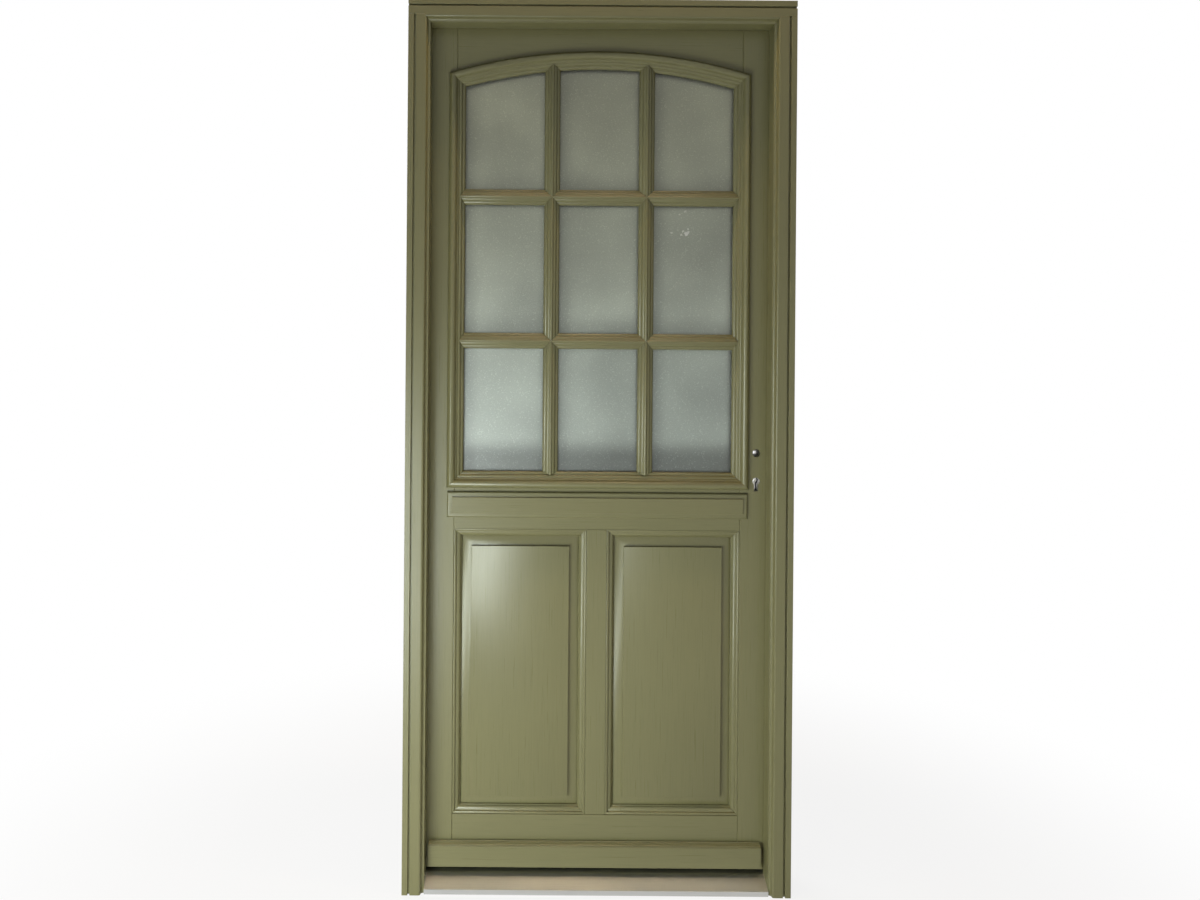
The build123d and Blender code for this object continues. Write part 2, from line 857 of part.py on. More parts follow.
reed_corners = [(a * bar_half, r * bar_rise, bulge) for a, r, bulge in bar_shares]
bolection_body_w = bolection_w - bar_half
body_corners = [
    (bar_half + a * bolection_body_w, bar_rise + r * (bolection_rise - bar_rise), bulge)
    for a, r, bulge in bolection_shares
]
bolection_corners = [
    *reed_corners,
    *body_corners,
    (bolection_w, glass_inset, 0),
    (bolection_reach - bolection_fit, glass_inset, 0),
    (bolection_reach - bolection_fit, 0, 0),
]
for place_name, outline in ring_outlines(bolection_w).items():
    length = ring_length(
        bolection_corners, lambda r: glass_front - r, place_name, outline, ring_notches[place_name]
    )
    gather(f"bolection_{place_name}", [length])

bead_w = bolection_reach - bolection_fit
bead_h = leaf_back - glass_back
bead_corners = [(a * bead_w, r * bead_h, bulge) for a, r, bulge in bead_shares] + [(bead_w, bead_h, 0), (bead_w, 0, 0)]
for place_name, outline in ring_outlines(bead_w).items():
    length = ring_length(bead_corners, lambda r: glass_back + r, place_name, outline, [])
    gather(f"glazing_bead_{place_name}", [length])


# Glazing bars: reeded up to a middle bead, mitred where they cross
def bar_corners(shares, rise):
    """The whole section of a bar, from its half profile."""
    points = [(a * bar_half, r * rise) for a, r, _ in shares]
    bulges = [bulge for _, _, bulge in shares]
    near = [(a - bar_half, r, bulge) for (a, r), bulge in zip(points[:-1], bulges[:-1])]
    far = [(bar_half - points[i][0], points[i][1], bulges[i - 1]) for i in range(len(points) - 1, 0, -1)]
    return near + far + [(bar_half, 0, 0)]


def shifted(points, dx, dz):
    """Draws a bar's end back by the joint's gap."""
    return [(x + dx, z + dz) for x, z in points]


def upright_lengths(x, section, to_y, ends):
    """The three lengths of one upright, between its ends and the two crossings."""
    crossings = [[(x - bar_half, z - bar_half), (x, z), (x + bar_half, z - bar_half)] for z in bar_rows]
    risers = [[(x - bar_half, z + bar_half), (x, z), (x + bar_half, z + bar_half)] for z in bar_rows]
    lows = [ends[0], *risers]
    highs = [*crossings, ends[1]]
    lengths = []
    for low, high in zip(lows, highs):
        outline = shifted(low, 0, joint_gap) + shifted(high, 0, -joint_gap)[::-1]
        with BuildPart() as length:
            with BuildSketch(Plane.XY.offset(panel_top)):
                draw_section(section, lambda u, r: (x + u, to_y(r)))
            extrude(amount=leaf_top - panel_top)
            cut_outline(outline, Mode.INTERSECT)
        lengths.append(length.part)
    return lengths


def cross_lengths(z, section, to_y, ends):
    """The three lengths of one cross bar, between its ends and the two crossings."""
    arrivals = [[(x - bar_half, z - bar_half), (x, z), (x - bar_half, z + bar_half)] for x in bar_columns]
    departures = [[(x + bar_half, z - bar_half), (x, z), (x + bar_half, z + bar_half)] for x in bar_columns]
    lefts = [ends[0], *departures]
    rights = [*arrivals, ends[1]]
    lengths = []
    for left, right in zip(lefts, rights):
        outline = shifted(left, joint_gap, 0) + shifted(right, -joint_gap, 0)[::-1]
        with BuildPart() as length:
            with BuildSketch(Plane.YZ.offset(-leaf_half)):
                draw_section(section, lambda u, r: (to_y(r), z + u))
            extrude(amount=2 * leaf_half)
            cut_outline(outline, Mode.INTERSECT)
        lengths.append(length.part)
    return lengths


def square_end(point):
    """A bar's end cut square at the sight line, for the bars inside."""
    first, _, last = point
    middle = ((first[0] + last[0]) / 2, (first[1] + last[1]) / 2)
    return [first, middle, last]


def outer_y(rise):
    return glass_front - rise


def inner_y(rise):
    return glass_back + rise


outer_section = bar_corners(bar_shares, bar_rise)
inner_section = bar_corners(inner_bar_shares, inner_bar_rise)
for x, bar_name in zip(bar_columns, ("left_upright_bar", "right_upright_bar")):
    gather(bar_name, upright_lengths(x, outer_section, outer_y, (foot_point(x), arch_point(x))))
for z, bar_name in zip(bar_rows, ("lower_cross_bar", "upper_cross_bar")):
    gather(bar_name, cross_lengths(z, outer_section, outer_y, (side_point(z, -1), side_point(z, 1))))

inner_uprights = []
for x in bar_columns:
    ends = (square_end(foot_point(x)), square_end(arch_point(x)))
    inner_uprights += upright_lengths(x, inner_section, inner_y, ends)
gather("inner_upright_bars", inner_uprights)
inner_crosses = []
for z in bar_rows:
    ends = (square_end(side_point(z, -1)), square_end(side_point(z, 1)))
    inner_crosses += cross_lengths(z, inner_section, inner_y, ends)
gather("inner_cross_bars", inner_crosses)

# Table block: a moulded board under the glazing
table_half_w = sight_half + bolection_w - table_side_set
table_top = sight_bottom - bolection_w - table_gap
table_centre_z = table_top - table_h / 2
with BuildPart() as table_block:
    with BuildSketch(Plane.XZ.offset(-leaf_front)):
        with Locations((0, table_centre_z)):
            Rectangle(2 * table_half_w, table_h)
    extrude(amount=table_base_t)
    fillet(table_block.edges().group_by(Axis.Y)[0], radius=table_round)
    with BuildSketch(Plane.XZ.offset(table_base_t - leaf_front)):
        with Locations((0, table_centre_z)):
            Rectangle(2 * (table_half_w - table_edge_w), table_h - 2 * table_edge_w)
    extrude(amount=table_field_t)
keep(table_block, "table_block")

# Weather bar: moulded top, flat face and a drip groove underneath
weather_x = (-open_half + weather_left_gap, open_half - weather_right_gap)
with BuildPart() as weather_bar:
    with BuildSketch(Plane.YZ.offset(weather_x[0])):
        weather_corners = [(p * weather_proj, h * weather_h, bulge) for p, h, bulge in weather_shares]
        draw_section(weather_corners, lambda p, h: (leaf_front - p, leaf_bottom + weather_foot + h))
    extrude(amount=weather_x[1] - weather_x[0])
keep(weather_bar, "weather_bar")

# Hinges: plates let into the jamb and the stile, knuckles on the room side
lower_knuckle_h = hinge_h / 2 - hinge_knuckle_gap / 2


def knuckle_half(plate_x, low, high, z):
    """One half of a hinge: a plate in the rebate joined to its knuckle."""
    with BuildPart() as half:
        x_low, x_high = plate_x
        with BuildSketch(Plane.XY.offset(z - hinge_h / 2)):
            fill_outline([
                (x_low, leaf_back - hinge_plate_w),
                (x_high, leaf_back - hinge_plate_w),
                (x_high, leaf_back),
                (x_low, leaf_back),
            ])
        extrude(amount=hinge_h)
        with BuildSketch(Plane.XY.offset(low)):
            fill_outline([(x_low, leaf_back), (x_high, leaf_back), (x_high, hinge_y), (x_low, hinge_y)])
            with Locations((hinge_x, hinge_y)):
                Circle(hinge_barrel_r)
        extrude(amount=high - low)
        with BuildSketch(Plane.XY.offset(low)):
            with Locations((hinge_x, hinge_y)):
                Circle(hinge_pin_r + hinge_pin_fit)
        extrude(amount=high - low, mode=Mode.SUBTRACT)
    return half.part


for place_name, z in hinge_places.items():
    foot = z - hinge_h / 2
    frame_plate_x = (-rebate_half - hinge_plate_t, -rebate_half)
    leaf_plate_x = (-leaf_half, -leaf_half + hinge_plate_t)
    top = foot + hinge_h
    gather(f"{place_name}_hinge_frame_half", knuckle_half(frame_plate_x, foot, foot + lower_knuckle_h, z))
    gather(f"{place_name}_hinge_leaf_half", knuckle_half(leaf_plate_x, top - lower_knuckle_h, top, z))
    with BuildPart() as hinge_pin:
        with BuildSketch(Plane.XY.offset(foot)):
            with Locations((hinge_x, hinge_y)):
                Circle(hinge_pin_r)
        extrude(amount=hinge_h - hinge_pin_end)
    keep(hinge_pin, f"{place_name}_hinge_pin")

# Strike plate in the lock jamb
with BuildPart() as strike_plate:
    with BuildSketch(Plane.YZ.offset(rebate_half)):
        with Locations((leaf_mid, (strike_bottom + strike_top) / 2)):
            Rectangle(strike_w, strike_top - strike_bottom)
        with Locations((leaf_mid, latch_z)):
            Rectangle(latch_t + 2 * strike_fit, latch_h + 2 * strike_fit, mode=Mode.SUBTRACT)
        with Locations((leaf_mid, dead_z)):
            Rectangle(dead_t + 2 * strike_fit, dead_h + 2 * strike_fit, mode=Mode.SUBTRACT)
    extrude(amount=strike_t)
keep(strike_plate, "strike_plate")

# Lock: forend in the stile's edge, a sheet case behind it and a cover on its room side
with BuildPart() as forend:
    with BuildSketch(Plane.YZ.offset(forend_x)):
        with Locations((leaf_mid, forend_bottom + forend_h / 2)):
            Rectangle(forend_w, forend_h)
        with Locations((leaf_mid, latch_z)):
            Rectangle(latch_t + 2 * bolt_fit, latch_h + 2 * bolt_fit, mode=Mode.SUBTRACT)
        with Locations((leaf_mid, dead_z)):
            Rectangle(dead_t + 2 * bolt_fit, dead_h + 2 * bolt_fit, mode=Mode.SUBTRACT)
    extrude(amount=forend_t)
keep(forend, "forend")

case_back_x = forend_x - case_depth
case_centre_z = case_bottom + case_h / 2


def lock_holes():
    """Cuts the follower's bearing and the cylinder's hole through the lock's sheets."""
    with BuildSketch(Plane.XZ) as holes:
        with Locations((lock_x, spindle_z)):
            Circle(follower_r + follower_fit)
        cylinder_outline()
    extrude(holes.sketch, amount=frame_depth, both=True, mode=Mode.SUBTRACT)


with BuildPart() as lock_case:
    with BuildSketch(Plane.YZ.offset(case_back_x)):
        with Locations((leaf_mid - case_wall / 2, case_centre_z)):
            Rectangle(case_t - case_wall, case_h)
    extrude(amount=case_depth)
    cut_box(
        (case_back_x + case_wall, forend_x),
        (leaf_mid - case_half + case_wall, leaf_mid + case_half),
        (case_bottom + case_wall, case_bottom + case_h - case_wall),
    )
    lock_holes()
keep(lock_case, "lock_case")

with BuildPart() as lock_cover:
    with BuildSketch(Plane.YZ.offset(case_back_x)):
        with Locations((leaf_mid + case_half - case_wall / 2, case_centre_z)):
            Rectangle(case_wall, case_h)
    extrude(amount=case_depth)
    lock_holes()
keep(lock_cover, "lock_cover")

# Follower: a hub with a square hole and an arm up into the latch bolt's notch
collar_half = case_half - case_wall - follower_play
rest_lean = radians(follower_turn / 2)
with BuildPart() as follower:
    with BuildSketch(Plane.XZ.offset(-leaf_mid)):
        with Locations((lock_x, spindle_z)):
            Circle(follower_r)
    extrude(amount=case_half, both=True)
    with BuildSketch(Plane.XZ.offset(-leaf_mid)):
        with Locations((lock_x, spindle_z)):
            Circle(follower_collar_r)
        with Locations(Location((lock_x, spindle_z), degrees(rest_lean))):
            Rectangle(follower_arm_w, follower_arm_r, align=(Align.CENTER, Align.MIN))
    extrude(amount=collar_half, both=True)
    with BuildSketch(Plane.XZ.offset(-leaf_mid)):
        with Locations((lock_x, spindle_z)):
            Rectangle(follower_square, follower_square)
    extrude(amount=frame_depth, both=True, mode=Mode.SUBTRACT)
keep(follower, "follower")

# Bolts, both drawn in
notch_x = lock_x - latch_throw / 2
latch_foot = latch_z - latch_h / 2
with BuildPart() as latch_bolt:
    with BuildSketch(Plane.XY.offset(latch_foot)):
        fill_outline([
            (bolt_nose_x - latch_len, leaf_mid - latch_t / 2),
            (bolt_nose_x - latch_bevel, leaf_mid - latch_t / 2),
            (bolt_nose_x, leaf_mid - latch_t / 2 + latch_bevel),
            (bolt_nose_x, leaf_mid + latch_t / 2),
            (bolt_nose_x - latch_len, leaf_mid + latch_t / 2),
        ])
    extrude(amount=latch_h)
    notch_half = latch_notch_w / 2
    cut_box(
        (notch_x - notch_half, notch_x + notch_half),
        (leaf_mid - latch_t, leaf_mid + latch_t),
        (latch_foot, latch_foot + latch_notch_h),
    )
keep(latch_bolt, "latch_bolt")

with BuildPart() as dead_bolt:
    with BuildSketch(Plane.YZ.offset(bolt_nose_x - dead_len)):
        with Locations((leaf_mid, dead_z)):
            Rectangle(dead_t, dead_h)
    extrude(amount=dead_len)
keep(dead_bolt, "dead_bolt")
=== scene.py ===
"""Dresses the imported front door: satin paint, obscure glass, steel hardware, and a plain studio."""

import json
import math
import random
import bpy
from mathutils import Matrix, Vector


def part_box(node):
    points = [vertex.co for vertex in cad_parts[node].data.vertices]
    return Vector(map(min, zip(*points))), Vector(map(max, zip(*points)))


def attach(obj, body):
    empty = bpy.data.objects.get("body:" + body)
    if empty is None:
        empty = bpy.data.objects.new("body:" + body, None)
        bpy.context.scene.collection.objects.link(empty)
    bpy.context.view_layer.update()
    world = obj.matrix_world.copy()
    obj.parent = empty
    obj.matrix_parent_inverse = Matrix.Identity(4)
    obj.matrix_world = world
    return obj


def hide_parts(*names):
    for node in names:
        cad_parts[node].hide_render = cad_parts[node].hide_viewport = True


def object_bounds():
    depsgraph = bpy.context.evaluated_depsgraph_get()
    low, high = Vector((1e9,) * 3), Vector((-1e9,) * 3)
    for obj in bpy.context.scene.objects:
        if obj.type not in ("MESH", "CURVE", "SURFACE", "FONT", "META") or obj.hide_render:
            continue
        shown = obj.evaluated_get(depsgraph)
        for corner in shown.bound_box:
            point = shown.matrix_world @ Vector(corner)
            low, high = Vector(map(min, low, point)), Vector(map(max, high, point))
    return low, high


bl_info = {
    "name": "Panelled Front Door",
    "version": (1, 0, 0),
    "blender": (4, 5, 0),
    "location": "View3D > Sidebar > Front Door",
    "description": "Paints, glazes and furnishes a wooden front door round its packed frame",
    "category": "Object",
}

import bmesh
import bpy
from bpy.props import FloatProperty, FloatVectorProperty, IntProperty, PointerProperty
from mathutils import Vector

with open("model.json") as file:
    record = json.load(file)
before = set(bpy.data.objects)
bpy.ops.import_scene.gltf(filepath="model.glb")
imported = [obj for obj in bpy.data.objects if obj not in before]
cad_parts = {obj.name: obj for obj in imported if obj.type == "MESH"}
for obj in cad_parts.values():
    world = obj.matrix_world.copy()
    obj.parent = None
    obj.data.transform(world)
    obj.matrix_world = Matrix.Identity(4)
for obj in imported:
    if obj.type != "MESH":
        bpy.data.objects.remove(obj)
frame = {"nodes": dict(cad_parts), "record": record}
CAD_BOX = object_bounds()
NODES = frame["nodes"]
BODY_OF = {
    node: body
    for body, members in frame["record"]["behaviour"]["bodies"].items()
    for node in members
}
SLOT_OF = {part["node"]: part["material_slot"] for part in frame["record"]["subparts"]}

MM = 0.001

# Painted wood: how near corners are merged, which faces count as one, which edges are rounded
MERGE_REACH = 0.002 * MM
FLAT_ANGLE = math.radians(0.3)
ARRIS_ANGLE = math.radians(35)
ARRIS_SEGMENTS = 2

# Scale of the paint's streaks and of the metal's lines along x, y and z, finest across them
UPRIGHT_STREAKS = (420.0, 420.0, 7.0)
LEVEL_STREAKS = (7.0, 420.0, 420.0)
STEEL_LINES = (900.0, 900.0, 60.0)
LOCK_LINES = (700.0, 700.0, 90.0)
SILL_LINES = (12.0, 1500.0, 1500.0)

# Screws: where they stand on their plates, and the shape of a head in shares of its size
HINGE_NAMES = ("bottom", "middle", "top")
HINGE_SCREW_SHARES = (-0.36, 0, 0.36)
HINGE_SCREW_INSET = 16 * MM
HINGE_GAP = 3 * MM
PLATE_SCREW_INSET = 11 * MM
SCREW_SIDES = 28
SCREW_RINGS = 4
DOME_FALL = 0.85
RECESS_LENGTH = 1.1
RECESS_WIDTH = 0.22
RECESS_LIFT = 0.45
LEAST_SCREW_FACES = 20

# Chalky flecks: the middle of each across and up, and its radius
FLECKS = (
    (0.2013, 1.6640, 0.0028),
    (0.2159, 1.6713, 0.0038),
    (0.1818, 1.6178, 0.0031),
    (0.2061, 1.6129, 0.0039),
    (0.2110, 1.6227, 0.0034),
    (0.2183, 1.6154, 0.0056),
    (0.2232, 1.6200, 0.0044),
    (0.2232, 1.6275, 0.0031),
)
FLECK_CORNERS = 11
FLECK_REACH = (0.55, 1.15)
FLECK_TOP = 0.6
FLECK_RISE = 0.3 * MM

# The picture: its size, the sensor's width, and where the door's middle and top come in it
IMAGE_W = 1200
IMAGE_H = 900
SENSOR_W = 36.0
DOOR_PX = 600.4
TOP_PX = -1.6

# The floor: its reach, how far off it starts and ends to fade, and its share of white at both
FLOOR_REACH = 14.0
FLOOR_FADE = (0.8, 2.0)
FLOOR_WHITE = (0.85, 1.0)

# The sky's light: from just under the horizon to high up, and its strength at both
SKY_SPAN = (-0.1, 0.7)
SKY_STRENGTH = (0.13, 0.03)

# Lamps: name, place, what it looks at, width and height, power, colour
LAMPS = (
    ("low_left", (-0.9, -1.5, 0.36), (0, 0, 0.4), (1.2, 0.66), 24, (0.95, 1.0, 0.99)),
    ("sheen_left", (-0.95, -1.5, 0.6), (-0.3, 0, 0.5), (0.35, 1.1), 26, (0.9, 1.0, 1.0)),
    ("fill_right", (2.2, -3.2, 1.0), (0, 0, 0.8), (2.0, 2.0), 4.5, (1.0, 0.95, 0.85)),
    ("room_high", (-2.4, 2.6, 2.8), (0, 0, 1.0), (2.8, 2.8), 85, (1.0, 0.98, 0.95)),
    ("room_low", (-1.1, 2.9, 0.9), (-0.2, 0, 1.2), (1.8, 1.5), 11, (1.0, 1.0, 0.98)),
    ("warm_above", (0, -0.28, 3.4), (0, 0, 1.2), (1.2, 0.14), 19, (1.0, 0.72, 0.42)),
)
# One lamp leaves out its gloss and another its plain light, so the sheen lies on the hinge stile
LAMP_WITHOUT_GLOSS = "low_left"
LAMP_WITHOUT_PLAIN_LIGHT = "sheen_left"


# Settings


class DoorPaintSettings(bpy.types.PropertyGroup):
    """Paint on the wood."""

    colour: FloatVectorProperty(
        name="Colour",
        description="Satin paint on the frame and the leaf",
        subtype="COLOR",
        size=3,
        min=0,
        max=1,
        default=(0.208, 0.199, 0.094),
    )
    roughness: FloatProperty(
        name="Roughness", description="Sheen of the satin paint", min=0, max=1, default=0.31
    )
    arris: FloatProperty(
        name="Arris",
        description="Rounding of the painted edges",
        subtype="DISTANCE",
        unit="LENGTH",
        default=0.8 * MM,
    )
    contrast: FloatProperty(
        name="Contrast", description="Depth of the brush marks' shade", min=0, max=1, default=0.22
    )
    pores: FloatProperty(
        name="Pores",
        description="Depth of the wood's pores under the paint",
        min=0,
        max=1,
        default=0.14,
    )


class DoorGlassSettings(bpy.types.PropertyGroup):
    """Obscure glass."""

    # the glass's tint with painted light and shade: lighter at the foot, darker under the arch
    lit_foot_colour: FloatVectorProperty(
        name="Foot colour",
        description="Tint of a pane at the foot of the light",
        subtype="COLOR",
        size=3,
        min=0,
        max=1,
        default=(0.5, 0.535, 0.5),
    )
    shaded_crown_colour: FloatVectorProperty(
        name="Crown colour",
        description="Tint of a pane under the arch",
        subtype="COLOR",
        size=3,
        min=0,
        max=1,
        default=(0.4, 0.405, 0.335),
    )
    grain: FloatProperty(
        name="Grain",
        description="Width of the pressed grain",
        subtype="DISTANCE",
        unit="LENGTH",
        default=2.2 * MM,
    )


class DoorHardwareSettings(bpy.types.PropertyGroup):
    """Hinges, lock, screws, sill and seals."""

    steel: FloatVectorProperty(
        name="Steel",
        description="Bright steel of the hinges and the lock",
        subtype="COLOR",
        size=3,
        min=0,
        max=1,
        default=(0.5, 0.49, 0.47),
    )
    # oiled steel, made darker still as painted shade for the spindle hole
    lock_steel_with_shade: FloatVectorProperty(
        name="Lock steel",
        description="Oiled steel inside the lock",
        subtype="COLOR",
        size=3,
        min=0,
        max=1,
        default=(0.1, 0.097, 0.088),
    )
    sill: FloatVectorProperty(
        name="Sill",
        description="Mill-finish sill",
        subtype="COLOR",
        size=3,
        min=0,
        max=1,
        default=(0.52, 0.52, 0.5),
    )
    screw_head: FloatProperty(
        name="Screw head",
        description="Radius of a screw head",
        subtype="DISTANCE",
        unit="LENGTH",
        default=4.2 * MM,
    )
    screw_rise: FloatProperty(
        name="Screw rise",
        description="How far a head stands out of its plate",
        subtype="DISTANCE",
        unit="LENGTH",
        default=0.7 * MM,
    )
    screw_seed: IntProperty(
        name="Screw seed", description="Sets how far each screw is turned", default=7
    )


class DoorStageSettings(bpy.types.PropertyGroup):
    """Camera."""

    camera_place: FloatVectorProperty(
        name="Camera",
        description="Where the camera stands",
        subtype="TRANSLATION",
        unit="LENGTH",
        size=3,
        default=(-0.19, -2.36, 1.31),
    )
    focal_px: FloatProperty(
        name="Focal length", description="In pixels of a 1200-pixel-wide image", default=951
    )
    camera_roll: FloatProperty(
        name="Roll", description="Lean of the camera", subtype="ANGLE", default=math.radians(-0.45)
    )


SETTINGS = {
    "door_paint": DoorPaintSettings,
    "door_glass": DoorGlassSettings,
    "door_hardware": DoorHardwareSettings,
    "door_stage": DoorStageSettings,
}


# Nodes that more than one tree uses


def add_noise(tree, vector, scale, detail, roughness):
    """A noise texture on the given coordinates."""
    noise = tree.nodes.new("ShaderNodeTexNoise")
    noise.inputs["Scale"].default_value = scale
    noise.inputs["Detail"].default_value = detail
    noise.inputs["Roughness"].default_value = roughness
    tree.links.new(vector, noise.inputs["Vector"])
    return noise.outputs["Fac"]


def add_math(tree, operation, first, second, third=None):
    """A math node whose operands are sockets or numbers."""
    node = tree.nodes.new("ShaderNodeMath")
    node.operation = operation
    for socket, value in zip(node.inputs, (first, second, third)):
        if value is None:
            continue
        if isinstance(value, (int, float)):
            socket.default_value = value
        else:
            tree.links.new(value, socket)
    return node.outputs[0]


def add_range(tree, value, start, stop, low, high, kind="SMOOTHSTEP"):
    """Carries a value from one span to another."""
    node = tree.nodes.new("ShaderNodeMapRange")
    node.interpolation_type = kind
    node.inputs["From Min"].default_value = start
    node.inputs["From Max"].default_value = stop
    node.inputs["To Min"].default_value = low
    node.inputs["To Max"].default_value = high
    tree.links.new(value, node.inputs["Value"])
    return node.outputs["Result"]


def add_vector_math(tree, operation, first, second=None):
    """A vector math node; returns the node."""
    node = tree.nodes.new("ShaderNodeVectorMath")
    node.operation = operation
    tree.links.new(first, node.inputs[0])
    if second is not None:
        tree.links.new(second, node.inputs[1])
    return node


def add_split(tree, vector):
    """The x, y and z of a vector."""
    node = tree.nodes.new("ShaderNodeSeparateXYZ")
    tree.links.new(vector, node.inputs[0])
    return node.outputs


def add_vector(tree, x=None, y=None, z=None):
    """A vector from sockets; one that is left out is zero."""
    node = tree.nodes.new("ShaderNodeCombineXYZ")
    for name, value in (("X", x), ("Y", y), ("Z", z)):
        if value is not None:
            tree.links.new(value, node.inputs[name])
    return node.outputs[0]


def add_ramp(tree, value, first, last):
    """A colour that runs from the first to the last."""
    ramp = tree.nodes.new("ShaderNodeValToRGB")
    ramp.color_ramp.elements[0].color = (*first, 1.0)
    ramp.color_ramp.elements[1].color = (*last, 1.0)
    tree.links.new(value, ramp.inputs["Fac"])
    return ramp.outputs["Color"]


def add_shade(tree, colour, value):
    """A colour made lighter or darker."""
    tint = tree.nodes.new("ShaderNodeHueSaturation")
    tree.links.new(colour, tint.inputs["Color"])
    tree.links.new(value, tint.inputs["Value"])
    return tint.outputs["Color"]


def add_object_coordinates(tree):
    """Object coordinates, in metres."""
    return tree.nodes.new("ShaderNodeTexCoord").outputs["Object"]


# Shader groups


def new_group(name, inputs, outputs):
    """An empty shader group with named sockets; returns the tree and its two end nodes."""
    tree = bpy.data.node_groups.new(name, "ShaderNodeTree")
    for direction, sockets in (("INPUT", inputs), ("OUTPUT", outputs)):
        for socket_name, kind, default in sockets:
            socket = tree.interface.new_socket(
                name=socket_name, in_out=direction, socket_type=kind
            )
            if default is not None:
                socket.default_value = default
    return tree, tree.nodes.new("NodeGroupInput"), tree.nodes.new("NodeGroupOutput")


SURFACE_OUTPUTS = (
    ("Colour", "NodeSocketColor", None),
    ("Roughness", "NodeSocketFloat", None),
    ("Height", "NodeSocketFloat", None),
)


def make_brush_group():
    """Painted wood: streaks along the grain, soft clouds, open pores and the paint's fine peel."""
    inputs = (
        ("Colour", "NodeSocketColor", (0.2, 0.2, 0.1, 1.0)),
        ("Streak Scale", "NodeSocketVector", (300.0, 300.0, 8.0)),
        ("Contrast", "NodeSocketFloat", 0.15),
        ("Pores", "NodeSocketFloat", 0.1),
        ("Roughness", "NodeSocketFloat", 0.36),
    )
    tree, start, end = new_group("painted_wood", inputs, SURFACE_OUTPUTS)
    given = start.outputs
    place = add_object_coordinates(tree)
    along = add_vector_math(tree, "MULTIPLY", place, given["Streak Scale"]).outputs[0]
    streaks = add_noise(tree, along, scale=1.0, detail=3.0, roughness=0.6)
    clouds = add_noise(tree, place, scale=5.0, detail=3.0, roughness=0.5)
    peel = add_noise(tree, place, scale=700.0, detail=1.0, roughness=0.5)
    grain = add_noise(tree, along, scale=1.9, detail=1.0, roughness=0.4)
    open_grain = add_range(tree, grain, 0.56, 0.7, 0.0, 1.0, kind="LINEAR")
    pores = add_math(tree, "MULTIPLY", open_grain, clouds)

    mixed = add_math(tree, "MULTIPLY_ADD", clouds, 0.5, add_math(tree, "MULTIPLY", streaks, 0.5))
    offset = add_math(tree, "SUBTRACT", mixed, 0.5)
    shade = add_math(tree, "MULTIPLY_ADD", offset, given["Contrast"], 1.0)
    pore_shade = add_math(tree, "MULTIPLY", pores, given["Pores"])
    shade = add_math(tree, "SUBTRACT", shade, pore_shade)
    streak_offset = add_math(tree, "SUBTRACT", streaks, 0.5)
    rough = add_math(tree, "MULTIPLY_ADD", streak_offset, 0.22, given["Roughness"])
    height = add_math(tree, "MULTIPLY_ADD", streaks, 0.5, add_math(tree, "MULTIPLY", peel, 0.2))
    height = add_math(tree, "SUBTRACT", height, pores)

    tree.links.new(add_shade(tree, given["Colour"], shade), end.inputs["Colour"])
    tree.links.new(rough, end.inputs["Roughness"])
    tree.links.new(height, end.inputs["Height"])
    return tree


def make_scratch_group():
    """Fine drawn lines and small dulled patches on metal."""
    inputs = (
        ("Line Scale", "NodeSocketVector", (2000.0, 2000.0, 40.0)),
        ("Roughness", "NodeSocketFloat", 0.3),
        ("Colour", "NodeSocketColor", (0.6, 0.6, 0.58, 1.0)),
    )
    tree, start, end = new_group("drawn_metal", inputs, SURFACE_OUTPUTS)
    given = start.outputs
    place = add_object_coordinates(tree)
    along = add_vector_math(tree, "MULTIPLY", place, given["Line Scale"]).outputs[0]
    lines = add_noise(tree, along, scale=1.0, detail=2.0, roughness=0.6)
    patches = add_noise(tree, place, scale=90.0, detail=3.0, roughness=0.6)
    patch_offset = add_math(tree, "SUBTRACT", patches, 0.5)
    rough = add_math(tree, "MULTIPLY_ADD", patch_offset, 0.3, given["Roughness"])
    shade = add_math(tree, "MULTIPLY_ADD", lines, 0.3, 0.85)
    tree.links.new(add_shade(tree, given["Colour"], shade), end.inputs["Colour"])
    tree.links.new(rough, end.inputs["Roughness"])
    tree.links.new(lines, end.inputs["Height"])
    return tree


# Materials


def new_material(name):
    """A node material; returns it, its tree and its main shader."""
    material = bpy.data.materials.new(name)
    material.use_nodes = True
    tree = material.node_tree
    return material, tree, tree.nodes["Principled BSDF"]


def add_bump(tree, height, shader, strength, distance):
    """Feeds a height into the shader's normal."""
    bump = tree.nodes.new("ShaderNodeBump")
    bump.inputs["Strength"].default_value = strength
    bump.inputs["Distance"].default_value = distance
    tree.links.new(height, bump.inputs["Height"])
    tree.links.new(bump.outputs["Normal"], shader.inputs["Normal"])


def use_group(tree, group, values, shader, strength, distance):
    """Places a shader group with its own values and feeds the shader from it."""
    node = tree.nodes.new("ShaderNodeGroup")
    node.node_tree = group
    for name, value in values.items():
        node.inputs[name].default_value = value
    tree.links.new(node.outputs["Colour"], shader.inputs["Base Color"])
    tree.links.new(node.outputs["Roughness"], shader.inputs["Roughness"])
    add_bump(tree, node.outputs["Height"], shader, strength, distance)


def make_paint(name, streak_scale, group):
    """Satin paint with its brush marks along one direction."""
    paint = bpy.context.scene.door_paint
    _, tree, shader = new_material(name)
    values = {
        "Colour": (*paint.colour, 1.0),
        "Streak Scale": streak_scale,
        "Contrast": paint.contrast,
        "Pores": paint.pores,
        "Roughness": paint.roughness,
    }
    shader.inputs["Specular IOR Level"].default_value = 0.4
    use_group(tree, group, values, shader, strength=0.35, distance=0.15 * MM)


def make_metal(name, colour, line_scale, roughness, group):
    """Drawn or brushed metal."""
    _, tree, shader = new_material(name)
    values = {"Line Scale": line_scale, "Roughness": roughness, "Colour": (*colour, 1.0)}
    shader.inputs["Metallic"].default_value = 1.0
    use_group(tree, group, values, shader, strength=0.2, distance=0.02 * MM)


def middle_of(node):
    """Middle of a node's box."""
    low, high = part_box(node)
    return (low + high) / 2


